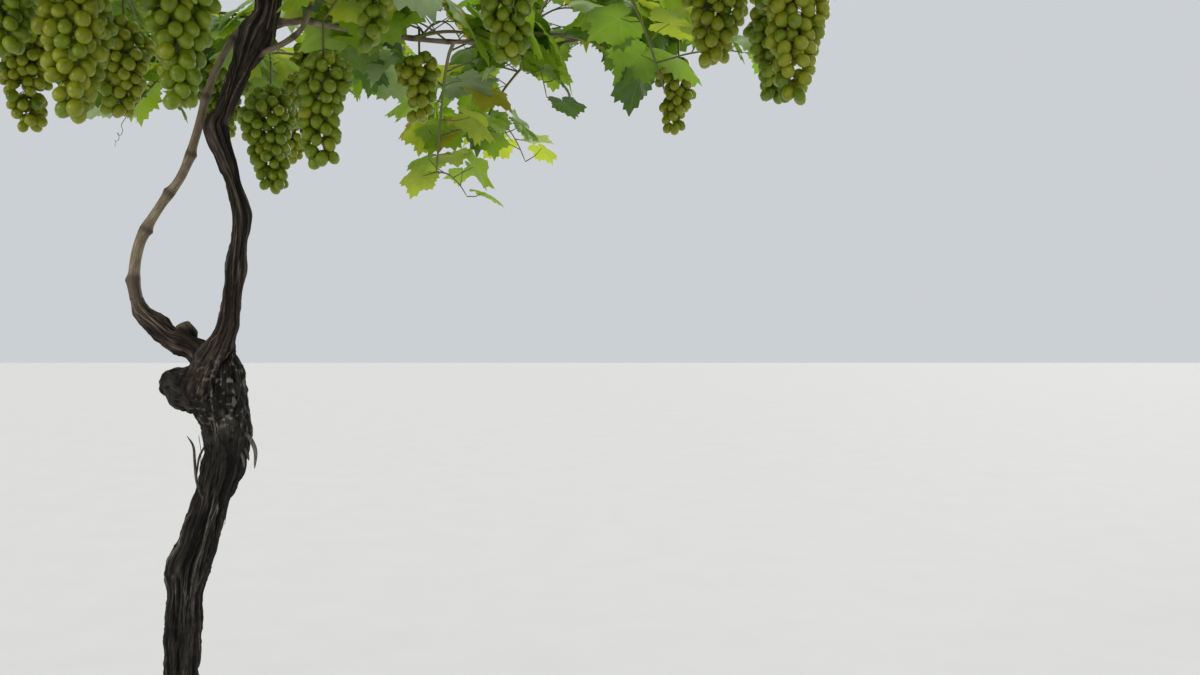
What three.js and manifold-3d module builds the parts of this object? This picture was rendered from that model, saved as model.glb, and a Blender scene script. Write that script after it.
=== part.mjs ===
// A table grapevine trained up to an overhead trellis: a leaning old trunk with a gnarled head, an old
// arm that climbs to the wires, canes that spread from its fork, and seven masses of leaves and grapes.
// Millimetres, +Z up. The origin is the middle of the flat cut under the trunk, at ground level.
import * as THREE from "three";
import { mergeVertices } from "three/addons/utils/BufferGeometryUtils.js";
import Module from "manifold-3d";

const wasm = await Module();
wasm.setup();

// Clear space between two pieces that meet, and the wider one that leaves keep from limbs
const JOINT_GAP = 0.3;
const LEAF_CLEARANCE = 4;

// Edges shorter than this are left over from joining, and are merged
const FINEST_EDGE = 0.05;

// Old wood. Each station of a limb is [x, y, z, radius]. The trunk starts below the ground and is cut there.
const TRUNK = [
  [1, -1, -40, 70],
  [0, 0, 0, 62],
  [-2, 2, 50, 51],
  [-7, 5, 130, 44],
  [-13, 10, 320, 38],
  [-8, 9, 540, 34],
  [10, 3, 765, 34],
  [16, 1, 850, 35],
  [21, 0, 890, 32],
  [28, 0, 946, 40],
  [43, 0, 984, 35],
  [55, 0, 1020, 34],
  [72, 0, 1072, 33],
  [92, 0, 1133, 41],
  [97, 0, 1190, 46],
  [92, 2, 1240, 46],
  [95, 4, 1288, 40],
  [92, 6, 1330, 16],
];
const FLARE_LOBES = 0.17;
const FLARE_HEIGHT = 90;

const LOW_KNOB = [
  [92, -4, 1240, 40],
  [59, -6, 1260, 41],
  [24, -8, 1268, 38],
  [-4, -6, 1282, 28],
];

const UPPER_STUB = [
  [84, 4, 1292, 22],
  [62, 3, 1312, 22],
  [40, 1, 1336, 22],
  [16, 0, 1349, 26],
  [-4, 1, 1358, 21],
  [-28, 4, 1379, 22],
  [-57, 10, 1402, 17],
  [-68, 12, 1424, 13],
];

const ARM_LOWER = [
  [50, -15, 1244, 17],
  [56, -26, 1270, 26],
  [68, -22, 1304, 27],
  [85, -14, 1338, 23],
  [99, -8, 1369, 21],
  [105, -2, 1406, 18],
  [108, 0, 1437, 17],
  [112, 4, 1478, 20],
  [119, 6, 1524, 16],
  [123, 6, 1575, 18],
  [109, 3, 1638, 15],
  [98, 0, 1674, 18],
  [84, -2, 1728, 24],
];

const ARM_UPPER = [
  [84, -2, 1728, 24],
  [96, -1, 1756, 17],
  [112, 0, 1796, 17],
  [127, 0, 1834, 19],
  [143, 0, 1870, 28],
  [157, 0, 1896, 32],
  [173, 0, 1932, 23],
  [177, 0, 1966, 24],
  [178, 0, 2002, 38],
  [178, 0, 2030, 26],
];

// Canes of last year's wood
const LEFT_CANE_LOWER = [
  [-68, 12, 1424, 11.5],
  [-74, 16, 1459, 10],
  [-70, 18, 1504, 9.5],
  [-57, 20, 1545, 9],
];

const LEFT_CANE_UPPER = [
  [-57, 20, 1545, 9],
  [-27, 20, 1593, 8],
  [12, 22, 1650, 8],
  [36, 26, 1720, 7.6],
  [58, 30, 1805, 7],
  [82, 38, 1866, 6.8],
  [112, 48, 1916, 6.6],
  [152, 58, 1928, 6.5],
  [200, 62, 1932, 6.4],
];

const SIDE_SHOOT = [
  [140, -4, 1852, 5.5],
  [205, -10, 1877, 5],
  [237, -10, 1903, 4.6],
  [252, -4, 1945, 4.4],
  [258, 6, 1974, 4.2],
];

// The crown: sectors round the fork's upright axis, and a middle one above it
const FORK = { x: 178, y: 0, z: 2003 };
const CROWN_REACH = 1060;
const CROWN_TOP = 2400;
const CROWN_SKIRT = 1600;
const SECTOR_SPAN = THREE.MathUtils.degToRad(60);
const SECTOR_GAP = 12;
const MIDDLE_REACH = 330;
const MIDDLE_FLOOR = 2042;
const MIDDLE_CLEARANCE = 24;

// Canes from the fork, each as far as the mass that it carries
const CANE_REACH = 240;
const CANE_ROOT_RADIUS = 9.5;
const CANE_TIP_RADIUS = 7.5;
const CANE_SWAY = 18;

// The growth rule of a mass
const STEM_LEAD = 30;
const STEM_MARGIN = 100;
const STEM_TIP_RADIUS = 4;
const STEM_SWAY = 34;
const STEM_LIFT = 22;
const MIDDLE_RISE = [0, 40, 110, 190];
const SHOOT_SPACING = 84;
const MIDDLE_SHOOT_SPACING = 26;
const MIDDLE_SHOOT_SHARE = 0.78;
const MIDDLE_TURN = 137.5;
const SHOOT_TRIES = 5;
const SHOOT_TURN_IN = 0.18;
const SHOOT_SHORTEN = 0.12;
const SHOOT_MARGIN = 24;
const SHOOT_CLEARANCE = 12;
const SHOOT_ROOT_RADIUS = 6;
const SHOOT_TIP_RADIUS = 4;
const SHOOT_STEPS = 3;
const INNER_SHOOTS = 2;
const INNER_KIND = { spread: [88, 118], climb: [8, 20], sag: 0.3, length: [200, 260] };
const SHOOT_KINDS = [
  { spread: [48, 78], climb: [14, 28], sag: 0.36, length: [330, 450] },
  { spread: [20, 70], climb: [42, 58], sag: 0.24, length: [300, 400] },
  { spread: [40, 70], climb: [18, 32], sag: 0.42, length: [330, 450] },
  { spread: [50, 80], climb: [4, 14], sag: 0.72, length: [280, 380] },
];
const BEARING_RISE = 0.22;
const FIRST_LEAF = 34;
const LEAF_SPACING = 72;
const LEAF_TAPER = 0.3;
const LEAF_LENGTH = [195, 240];
const LEAF_TURN = [-20, 75];
const LEAF_DROOP = [0.08, 0.75];
const LEAF_TILT = 0.42;
const LEAF_WIDTH_SHARE = 1.02;
const LEAF_RISE_SHARE = 0.03;
const LEAF_SINK = 4;
const LEAF_ROOM = 70;
const LEAF_ROUNDS = 8;
const LEAF_TRIES = 12;
const CLUSTER_LENGTH = [190, 240];
const CLUSTER_WIDTH = [105, 130];
const CLUSTER_SPACING = 170;
const CLUSTER_MARGIN = 6;
const CLUSTER_GIRTH = 0.56;
const CLUSTER_SIDES = 6;
const CLUSTER_PROFILE = [0.5, 0.94, 1, 0.74, 0.42];
const PEDUNCLE_LENGTH = 55;
const PEDUNCLE_RADIUS = 3.4;

// Masses. A bunch of grapes that hangs in the open has its middle [x, y, z], length and width. The first
// shoots of a mass, as many as barren says, bear no others.
const MASSES = [
  {
    name: "foliage_back_right",
    azimuth: 50,
    seed: 5021,
    leaves: 50,
    clusters: 0,
    barren: 0,
    via: [
      [310, 140, 1936],
      [478, 212, 1932],
      [690, 380, 1985],
    ],
    bunches: [
      { at: [413, 187, 1834], length: 132, width: 90 },
      { at: [938, 500, 1880], length: 160, width: 98 },
    ],
  },
  {
    name: "foliage_back",
    azimuth: 110,
    seed: 1103,
    leaves: 50,
    clusters: 3,
    barren: 0,
    bunches: [
      { at: [101, 270, 1746], length: 212, width: 124 },
      { at: [-76, 450, 1872], length: 165, width: 92 },
    ],
  },
  {
    name: "foliage_left",
    azimuth: 170,
    seed: 1709,
    leaves: 50,
    clusters: 4,
    barren: 0,
    bunches: [],
  },
  {
    name: "foliage_front_left",
    azimuth: 230,
    seed: 2309,
    leaves: 50,
    clusters: 3,
    barren: 0,
    bunches: [
      { at: [43, -450, 1757], length: 190, width: 100 },
      { at: [-58, -462, 1838], length: 170, width: 96 },
    ],
  },
  {
    name: "foliage_front",
    azimuth: 290,
    seed: 2903,
    leaves: 50,
    clusters: 3,
    barren: 5,
    bunches: [
      { at: [178, -450, 1790], length: 226, width: 112 },
      { at: [405, -205, 1884], length: 145, width: 72 },
      { at: [330, -880, 1870], length: 200, width: 112 },
    ],
  },
  {
    name: "foliage_right",
    azimuth: 350,
    seed: 3511,
    leaves: 50,
    clusters: 3,
    barren: 5,
    bunches: [
      { at: [277, -20, 1757], length: 204, width: 112 },
      { at: [606, -140, 1908], length: 192, width: 108 },
      { at: [1085, 70, 1880], length: 190, width: 108 },
    ],
  },
  {
    name: "foliage_middle",
    azimuth: null,
    seed: 4001,
    leaves: 46,
    clusters: 0,
    barren: 0,
    bunches: [],
  },
];

const COLOURS = {
  trunk: 0x3f332c,
  arm: 0x4b3a31,
  cane: 0x7c5c46,
  foliage: 0x6f9832,
};

const UP = new THREE.Vector3(0, 0, 1);
const FORK_POINT = new THREE.Vector3(FORK.x, FORK.y, FORK.z);

// The Park-Miller generator: the same seed always grows the same vine
function randomFrom(seed) {
  let state = seed;
  return () => {
    state = (state * 48271) % 2147483647;
    return state / 2147483647;
  };
}

function between([low, high], random) {
  return low + (high - low) * random();
}

function pointOf([x, y, z]) {
  return new THREE.Vector3(x, y, z);
}

function smoothLine(points) {
  return new THREE.CatmullRomCurve3(points, false, "catmullrom", 0.5);
}

// A closed tapering tube: rings of corners square to a smooth line, with a fan over each end.
// radiusAt(share, angle) gives the skin, and grow widens it and lengthens it at both ends.
function tubeGeometry(line, radiusAt, sides, steps, grow, tipRise) {
  const corners = [];
  const faces = [];
  const across = new THREE.Vector3(1, 0.2, 0.1);
  for (let ring = 0; ring <= steps; ring++) {
    const share = ring / steps;
    const middle = line.getPoint(share);
    const along = line.getTangent(share);
    across.addScaledVector(along, -across.dot(along)).normalize();
    const other = new THREE.Vector3().crossVectors(along, across);
    if (ring === 0) middle.addScaledVector(along, -grow);
    if (ring === steps) middle.addScaledVector(along, grow);
    for (let side = 0; side < sides; side++) {
      const angle = (2 * Math.PI * side) / sides;
      const radius = radiusAt(share, angle) + grow;
      const corner = middle.clone();
      corner.addScaledVector(across, radius * Math.cos(angle));
      corner.addScaledVector(other, radius * Math.sin(angle));
      corners.push(corner);
    }
  }
  const last = steps * sides;
  const foot = corners.length;
  const tip = foot + 1;
  corners.push(line.getPoint(0).addScaledVector(line.getTangent(0), -grow));
  corners.push(line.getPoint(1).addScaledVector(line.getTangent(1), grow + tipRise));
  for (let side = 0; side < sides; side++) {
    const next = (side + 1) % sides;
    faces.push(foot, next, side);
    faces.push(tip, last + side, last + next);
    for (let ring = 0; ring < steps; ring++) {
      const low = ring * sides;
      const high = low + sides;
      faces.push(low + side, low + next, high + next);
      faces.push(low + side, high + next, high + side);
    }
  }
  return closedGeometry(corners, faces);
}

function closedGeometry(corners, faces) {
  const places = corners.flatMap((corner) => [corner.x, corner.y, corner.z]);
  const geometry = new THREE.BufferGeometry();
  geometry.setAttribute("position", new THREE.Float32BufferAttribute(places, 3));
  geometry.setIndex(faces);
  return geometry;
}

function solidOf(geometry) {
  const merged = mergeVertices(geometry, 1e-4);
  return new wasm.Manifold(
    new wasm.Mesh({
      numProp: 3,
      vertProperties: merged.attributes.position.array,
      triVerts: new Uint32Array(merged.index.array),
    }),
  );
}

// The largest body of a solid, with slivers merged, sealed hollows filled and loose scraps dropped
function wholeOf(solid) {
  const bodies = solid.simplify(FINEST_EDGE).decompose();
  bodies.sort((a, b) => b.volume() - a.volume());
  return bodies[0];
}

function meshOf(name, solid, colour) {
  const made = solid.getMesh();
  const geometry = new THREE.BufferGeometry();
  geometry.setAttribute("position", new THREE.BufferAttribute(made.vertProperties, 3));
  geometry.setIndex(new THREE.BufferAttribute(made.triVerts, 1));
  geometry.computeVertexNormals();
  const material = new THREE.MeshStandardMaterial({ color: colour, roughness: 0.85, metalness: 0 });
  const mesh = new THREE.Mesh(geometry, material);
  mesh.name = name;
  return mesh;
}

// Radius at a share of a limb's length, eased from one station to the next
function stationRadius(stations, share) {
  const place = share * (stations.length - 1);
  const index = Math.min(Math.floor(place), stations.length - 2);
  const eased = THREE.MathUtils.smoothstep(place - index, 0, 1);
  return THREE.MathUtils.lerp(stations[index][3], stations[index + 1][3], eased);
}

// Old wood is ribbed by strands that wind slowly round it
function ribs(share, angle, depth) {
  const wide = Math.sin(3 * angle + 5 * share + 0.8);
  const fine = Math.sin(5 * angle - 7 * share + 2.1);
  return 1 + depth * (0.6 * wide + 0.4 * fine);
}

class Limb {
  constructor(name, stations, { sides = 6, stepsPerStation = 2, ribDepth = 0, tipRise = 0, colour }) {
    this.name = name;
    this.stations = stations;
    this.line = smoothLine(stations.map(pointOf));
    this.sides = sides;
    this.steps = stepsPerStation * (stations.length - 1);
    this.ribDepth = ribDepth;
    this.tipRise = tipRise;
    this.colour = colour;
  }

  radiusAt(share, angle) {
    return stationRadius(this.stations, share) * ribs(share, angle, this.ribDepth);
  }

  solid(grow = 0) {
    const radiusAt = (share, angle) => this.radiusAt(share, angle);
    return solidOf(tubeGeometry(this.line, radiusAt, this.sides, this.steps, grow, this.tipRise));
  }

  tip() {
    return this.line.getPoint(1);
  }

  tipDirection() {
    return this.line.getTangent(1);
  }
}

// The trunk also has lobes that spread at the ground, and its foot is cut flat there
class Trunk extends Limb {
  radiusAt(share, angle) {
    const height = this.line.getPoint(share).z;
    const spread = FLARE_LOBES * Math.exp(-height / FLARE_HEIGHT);
    const lobes = 1 + spread * Math.sin(5 * angle + 0.6);
    return super.radiusAt(share, angle) * lobes;
  }

  solid(grow = 0) {
    return super.solid(grow).trimByPlane([0, 0, 1], 0);
  }
}

// A limb is cut back to 0.3 mm from the limbs that it grows out of
function cutBack(limb, parents) {
  let solid = limb.solid();
  for (const parent of parents) solid = solid.subtract(parent.solid(JOINT_GAP));
  return wholeOf(solid);
}

// Three-sided twigs
function twigSolid(points, rootRadius, tipRadius) {
  const line = smoothLine(points);
  const radiusAt = (share) => THREE.MathUtils.lerp(rootRadius, tipRadius, share);
  return solidOf(tubeGeometry(line, radiusAt, 3, points.length - 1, 0, 0));
}

// A leaf is a thin five-cornered blade with a low crown: root, broad side, shoulder, tip and far side
function leafCorners(leaf) {
  const { root, along, across, normal, length, hand } = leaf;
  const width = length * LEAF_WIDTH_SHARE * hand;
  const outline = [
    [0, 0],
    [0.36, 0.5],
    [0.8, 0.34],
    [1, 0],
    [0.42, -0.5],
  ];
  const corners = outline.map(([forward, sideways]) =>
    root.clone().addScaledVector(along, forward * length).addScaledVector(across, sideways * width),
  );
  const crown = root.clone().addScaledVector(along, 0.48 * length);
  crown.addScaledVector(normal, LEAF_RISE_SHARE * length);
  return [...corners, crown];
}

function leafSolid(leaf) {
  const corners = leafCorners(leaf);
  const faces = [];
  for (let corner = 0; corner < 5; corner++) faces.push(5, (corner + 1) % 5, corner);
  for (let corner = 1; corner < 4; corner++) faces.push(0, corner, corner + 1);
  if (leaf.hand < 0) faces.reverse();
  return solidOf(closedGeometry(corners, faces));
}

// A bunch of grapes is a lumpy cone, widest at its shoulder, that hangs by its stalk
function clusterSolid(cluster) {
  const rings = CLUSTER_PROFILE.length;
  const random = randomFrom(cluster.seed);
  const lumps = Array.from({ length: CLUSTER_SIDES * rings }, () => 0.86 + 0.24 * random());
  const line = new THREE.LineCurve3(cluster.top, cluster.bottom);
  const radiusAt = (share, angle) => {
    const ring = Math.round(share * (rings - 1));
    const side = Math.round((angle / (2 * Math.PI)) * CLUSTER_SIDES);
    return (cluster.width / 2) * CLUSTER_PROFILE[ring] * lumps[ring * CLUSTER_SIDES + side];
  };
  return solidOf(tubeGeometry(line, radiusAt, CLUSTER_SIDES, rings - 1, 0, cluster.length * 0.06));
}

// Spaces of the masses
function directionOf(azimuth) {
  const angle = THREE.MathUtils.degToRad(azimuth);
  return new THREE.Vector3(Math.cos(angle), Math.sin(angle), 0);
}

function spaceOf(mass) {
  if (mass.azimuth === null) return (point) => inMiddle(point);
  const outward = directionOf(mass.azimuth);
  const sideways = new THREE.Vector3().crossVectors(UP, outward);
  return (point, margin) => inSector(point, margin, outward, sideways);
}

function inMiddle(point) {
  const distance = Math.hypot(point.x - FORK.x, point.y - FORK.y);
  return distance < MIDDLE_REACH && point.z > MIDDLE_FLOOR && point.z < CROWN_TOP;
}

function inSector(point, margin, outward, sideways) {
  const from = point.clone().sub(FORK_POINT);
  const distance = Math.hypot(from.x, from.y);
  const half = SECTOR_SPAN / 2;
  const sideRoom = from.dot(outward) * Math.sin(half) - Math.abs(from.dot(sideways)) * Math.cos(half);
  if (sideRoom < SECTOR_GAP / 2 + margin || distance > CROWN_REACH) return false;
  if (point.z < CROWN_SKIRT || point.z > CROWN_TOP) return false;
  const overMiddle = point.z > MIDDLE_FLOOR - MIDDLE_CLEARANCE;
  return !(overMiddle && distance < MIDDLE_REACH + MIDDLE_CLEARANCE);
}

// The stem runs on from its cane, swaying a little, to near the edge of the crown
function stemPoints(mass, start, heading, random) {
  if (mass.azimuth === null) return middleStem(start);
  const outward = directionOf(mass.azimuth);
  const sideways = new THREE.Vector3().crossVectors(UP, outward);
  const points = [start, start.clone().addScaledVector(heading, STEM_LEAD)];
  const via = mass.via ? mass.via.map(pointOf) : [];
  points.push(...via);
  const reached = points[points.length - 1].clone().sub(FORK_POINT).dot(outward);
  const legs = via.length ? 1 : 3;
  const end = CROWN_REACH - STEM_MARGIN;
  for (let leg = 1; leg <= legs; leg++) {
    const point = FORK_POINT.clone().addScaledVector(outward, reached + ((end - reached) * leg) / legs);
    point.addScaledVector(sideways, STEM_SWAY * (2 * random() - 1));
    point.z += STEM_LIFT * (2 * random() - 1);
    points.push(point);
  }
  return points;
}

function middleStem(start) {
  return MIDDLE_RISE.map((height, index) =>
    start.clone().add(new THREE.Vector3(9 * index, -6 * index, height)),
  );
}

// A shoot leaves the stem sideways and upwards and sags with its length
function shootPoints(start, azimuth, climb, sag, length) {
  const flat = directionOf(azimuth).multiplyScalar(Math.cos(climb));
  const points = [];
  for (let step = 0; step <= SHOOT_STEPS; step++) {
    const share = step / SHOOT_STEPS;
    const point = start.clone().addScaledVector(flat, length * share);
    point.z += length * (Math.sin(climb) * share - sag * share * share);
    points.push(point);
  }
  return points;
}

function azimuthOf(direction) {
  return THREE.MathUtils.radToDeg(Math.atan2(direction.y, direction.x));
}

function distanceToSegment(point, [from, to]) {
  return new THREE.Line3(from, to).closestPointToPoint(point, true, new THREE.Vector3()).distanceTo(point);
}

function clearOf(obstacles, points, room) {
  return points.every((point) =>
    obstacles.every((obstacle) => distanceToSegment(point, obstacle.ends) > obstacle.radius + room),
  );
}

// A shoot that would leave its space is turned in and shortened, and is skipped after the last try
function growShoot(mass, space, line, share, index, random, obstacles) {
  const inner = index < INNER_SHOOTS && mass.azimuth !== null;
  const kind = inner ? INNER_KIND : SHOOT_KINDS[index % SHOOT_KINDS.length];
  const start = line.getPointAt(share);
  const heading = azimuthOf(line.getTangentAt(share));
  const side = index % 2 ? 1 : -1;
  const middle = mass.azimuth === null;
  const spread = middle ? MIDDLE_TURN * index : side * between(kind.spread, random);
  const climb = THREE.MathUtils.degToRad(between(kind.climb, random));
  const length = between(kind.length, random) * (middle ? MIDDLE_SHOOT_SHARE : 1);
  for (let attempt = 0; attempt < SHOOT_TRIES; attempt++) {
    const turned = heading + spread * (middle ? 1 : 1 - SHOOT_TURN_IN * attempt);
    const points = shootPoints(start, turned, climb, kind.sag, length * (1 - SHOOT_SHORTEN * attempt));
    const inside = points.slice(1).every((point) => space(point, SHOOT_MARGIN));
    if (inside && clearOf(obstacles, points.slice(2), SHOOT_CLEARANCE)) return points;
  }
  return null;
}

// A bearing shoot reaches from the stem to where a bunch hangs
function bearingShoot(line, bunch) {
  const hang = pointOf(bunch.at);
  hang.z += bunch.length / 2 + PEDUNCLE_LENGTH;
  let best = null;
  for (let step = 1; step < 40; step++) {
    const start = line.getPointAt(step / 40);
    const distance = start.distanceTo(hang);
    if (!best || distance < best.distance) best = { start, distance };
  }
  const rise = BEARING_RISE * best.distance;
  return [0, 0.35, 0.7, 1].map((share) => {
    const point = best.start.clone().lerp(hang, share);
    point.z += rise * 4 * share * (1 - share);
    return point;
  });
}

function clusterAt(hang, length, width, seed) {
  const top = hang.clone();
  top.z -= PEDUNCLE_LENGTH;
  const bottom = top.clone();
  bottom.z -= length;
  return { hang, top, bottom, length, width, seed };
}

// A leaf beside its node, alternately left and right, that looks up and droops a little
function leafAt(node, heading, side, size, random) {
  const level = new THREE.Vector3(heading.x, heading.y, 0).normalize();
  const sideways = new THREE.Vector3().crossVectors(UP, level).multiplyScalar(side);
  const turn = THREE.MathUtils.degToRad(between(LEAF_TURN, random));
  const along = sideways.multiplyScalar(Math.cos(turn)).addScaledVector(level, Math.sin(turn));
  along.z = -between(LEAF_DROOP, random);
  along.normalize();
  const tilts = [LEAF_TILT * (2 * random() - 1), LEAF_TILT * (2 * random() - 1)];
  const normal = new THREE.Vector3(tilts[0], tilts[1], 1);
  normal.addScaledVector(along, -normal.dot(along)).normalize();
  const across = new THREE.Vector3().crossVectors(normal, along);
  const root = node.clone().addScaledVector(along, -LEAF_SINK);
  return { root, along, across, normal, length: size, hand: random() < 0.5 ? 1 : -1 };
}

function leafFits(leaf, space, placed, obstacles) {
  const corners = leafCorners(leaf);
  if (!corners.slice(1).every((corner) => space(corner, 0))) return false;
  const middle = corners[5];
  if (placed.some((other) => other.distanceTo(middle) < LEAF_ROOM)) return false;
  return clearOf(obstacles, corners.slice(1), LEAF_CLEARANCE);
}

function touches(solid, other) {
  return !solid.intersect(other).isEmpty();
}

// Leaves are dealt out evenly: each round gives every shoot one more, until the mass has its share
function growLeaves(mass, space, lines, random, obstacles, blocked) {
  const leaves = [];
  const placed = [];
  for (let round = 0; round < LEAF_ROUNDS; round++) {
    for (const [index, line] of lines.entries()) {
      const reach = FIRST_LEAF + LEAF_SPACING * round;
      const full = line.getLength();
      if (reach > full || leaves.length >= mass.leaves) continue;
      const share = reach / full;
      const node = line.getPointAt(share);
      const heading = line.getTangentAt(share);
      const size = between(LEAF_LENGTH, random) * (1 - LEAF_TAPER * share);
      for (let attempt = 0; attempt < LEAF_TRIES; attempt++) {
        const side = (round + index + attempt) % 2 ? 1 : -1;
        const leaf = leafAt(node, heading, side, size, random);
        if (!leafFits(leaf, space, placed, obstacles)) continue;
        const solid = leafSolid(leaf);
        if ([blocked, ...leaves].some((other) => touches(solid, other))) continue;
        leaves.push(solid);
        placed.push(leafCorners(leaf)[5]);
        break;
      }
    }
  }
  return leaves;
}

function growMass(mass, start, heading, obstacles, blocked) {
  const space = spaceOf(mass);
  const random = randomFrom(mass.seed);
  const stem = stemPoints(mass, start, heading, random);
  const stemLine = smoothLine(stem);
  const others = obstacles.filter((obstacle) => obstacle.owner !== mass.name);
  const shoots = [];
  const spacing = mass.azimuth === null ? MIDDLE_SHOOT_SPACING : SHOOT_SPACING;
  const count = Math.floor(stemLine.getLength() / spacing);
  for (let index = 0; index < count; index++) {
    const share = (index + 0.7) / count;
    const points = growShoot(mass, space, stemLine, share, index, random, obstacles);
    if (points) shoots.push(points);
  }
  const clusters = mass.bunches.map((bunch, index) => {
    const points = bearingShoot(stemLine, bunch);
    shoots.push(points);
    return clusterAt(points[points.length - 1], bunch.length, bunch.width, mass.seed + 10 + index);
  });
  clusters.push(...seededClusters(mass, space, shoots, random, others, clusters));
  const bunchRoom = clusters.map((cluster) => obstacleOfCluster(cluster, mass.name));
  const lines = [...shoots.map(smoothLine), stemLine];
  const leaves = growLeaves(mass, space, lines, random, [...others, ...bunchRoom], blocked);
  const pieces = [
    twigSolid(stem, CANE_TIP_RADIUS, STEM_TIP_RADIUS),
    ...shoots.map((points) => twigSolid(points, SHOOT_ROOT_RADIUS, SHOOT_TIP_RADIUS)),
    ...clusters.flatMap(clusterPieces),
    ...leaves,
  ];
  return wasm.Manifold.union(pieces);
}

// Further bunches hang from the second fifth of the shoots, where nothing else is in their way
function seededClusters(mass, space, shoots, random, others, hung) {
  const added = [];
  for (const points of shoots.slice(mass.barren)) {
    if (added.length >= mass.clusters) break;
    const length = between(CLUSTER_LENGTH, random);
    const width = between(CLUSTER_WIDTH, random);
    const cluster = clusterAt(points[1].clone(), length, width, mass.seed + 20 + added.length);
    const rim = [cluster.top, cluster.bottom];
    const apart = [...hung, ...added].every((other) => other.top.distanceTo(cluster.top) > CLUSTER_SPACING);
    const inside = rim.every((point) => space(point, width / 2 + CLUSTER_MARGIN));
    if (apart && inside && clearOf(others, rim, width / 2 + LEAF_CLEARANCE)) added.push(cluster);
  }
  return added;
}

function clusterPieces(cluster) {
  const sunk = cluster.top.clone();
  sunk.z -= 30;
  const stalk = twigSolid([cluster.hang, cluster.top, sunk], PEDUNCLE_RADIUS, PEDUNCLE_RADIUS);
  return [stalk, clusterSolid(cluster)];
}

function obstacleOfCluster(cluster, owner) {
  return { ends: [cluster.top, cluster.bottom], radius: CLUSTER_GIRTH * cluster.width, owner };
}

function obstaclesOfLimb(limb) {
  const points = limb.line.getPoints(limb.steps);
  return points.slice(1).map((point, index) => ({
    ends: [points[index], point],
    radius: stationRadius(limb.stations, (index + 0.5) / limb.steps),
  }));
}

function obstacleOfBunch(bunch, owner) {
  const half = new THREE.Vector3(0, 0, bunch.length / 2);
  const middle = pointOf(bunch.at);
  const ends = [middle.clone().add(half), middle.clone().sub(half)];
  return { ends, radius: CLUSTER_GIRTH * bunch.width, owner };
}

// Limbs, from the trunk outwards
const oldWood = { ribDepth: 0.09 };
const trunk = new Trunk("trunk", TRUNK, { ...oldWood, sides: 14, tipRise: 8, colour: COLOURS.trunk });
const knob = new Limb("low_knob", LOW_KNOB, { ...oldWood, sides: 10, tipRise: 12, colour: COLOURS.trunk });
const stub = new Limb("upper_stub", UPPER_STUB, { ...oldWood, sides: 9, colour: COLOURS.arm });
const armLower = new Limb("arm_lower", ARM_LOWER, { ...oldWood, sides: 9, colour: COLOURS.arm });
const armUpper = new Limb("arm_upper", ARM_UPPER, { ...oldWood, sides: 9, tipRise: 7, colour: COLOURS.arm });
const leftLower = new Limb("left_cane_lower", LEFT_CANE_LOWER, { colour: COLOURS.cane });
const leftUpper = new Limb("left_cane_upper", LEFT_CANE_UPPER, { colour: COLOURS.cane });
const sideShoot = new Limb("side_shoot", SIDE_SHOOT, { sides: 5, colour: COLOURS.cane });

function forkCane(mass) {
  const random = randomFrom(mass.seed + 1);
  const outward = directionOf(mass.azimuth);
  const sideways = new THREE.Vector3().crossVectors(UP, outward);
  const sway = CANE_SWAY * (2 * random() - 1);
  const middle = FORK_POINT.clone().addScaledVector(outward, CANE_REACH / 2).addScaledVector(sideways, sway);
  const end = FORK_POINT.clone().addScaledVector(outward, CANE_REACH);
  const stations = [
    [FORK.x, FORK.y, FORK.z, CANE_ROOT_RADIUS],
    [middle.x, middle.y, FORK.z + 8, (CANE_ROOT_RADIUS + CANE_TIP_RADIUS) / 2],
    [end.x, end.y, FORK.z, CANE_TIP_RADIUS],
  ];
  const name = mass.name.replace("foliage", "cane");
  return new Limb(name, stations, { stepsPerStation: 3, colour: COLOURS.cane });
}

const forkCanes = new Map();
for (const mass of MASSES) {
  if (mass.azimuth !== null && !mass.via) forkCanes.set(mass.name, forkCane(mass));
}

const limbs = [trunk, knob, stub, armLower, armUpper, leftLower, leftUpper, sideShoot, ...forkCanes.values()];
const parents = new Map([
  [knob, [trunk]],
  [stub, [trunk, knob]],
  [armLower, [trunk, knob, stub]],
  [armUpper, [armLower]],
  [leftLower, [stub]],
  [leftUpper, [leftLower]],
  [sideShoot, [armUpper]],
]);

const vine = new THREE.Group();
for (const limb of limbs) {
  const grownFrom = limb === trunk ? [] : parents.get(limb) || [armUpper];
  vine.add(meshOf(limb.name, cutBack(limb, grownFrom), limb.colour));
}

// Masses, each grown on from the tip of its own cane and clear of every limb and every open bunch
const obstacles = limbs.flatMap(obstaclesOfLimb);
for (const mass of MASSES) {
  obstacles.push(...mass.bunches.map((bunch) => obstacleOfBunch(bunch, mass.name)));
}
const grownLimbs = wasm.Manifold.union(limbs.map((limb) => limb.solid(LEAF_CLEARANCE)));

function carrierOf(mass) {
  if (mass.azimuth === null) return armUpper;
  return forkCanes.get(mass.name) || leftUpper;
}

for (const mass of MASSES) {
  const carrier = carrierOf(mass);
  const start = carrier.tip().addScaledVector(carrier.tipDirection(), carrier.tipRise);
  const grown = growMass(mass, start, carrier.tipDirection(), obstacles, grownLimbs);
  const cut = wholeOf(grown.subtract(carrier.solid(JOINT_GAP)));
  vine.add(meshOf(mass.name, cut, COLOURS.foliage));
}

export default vine;
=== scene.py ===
# A table grapevine dressed for rendering: fissured bark, canes, five-lobed leaves and bunches of grapes,
# grown by the same seeded rule as the solids and carried to finer twigs.
import math

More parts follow.
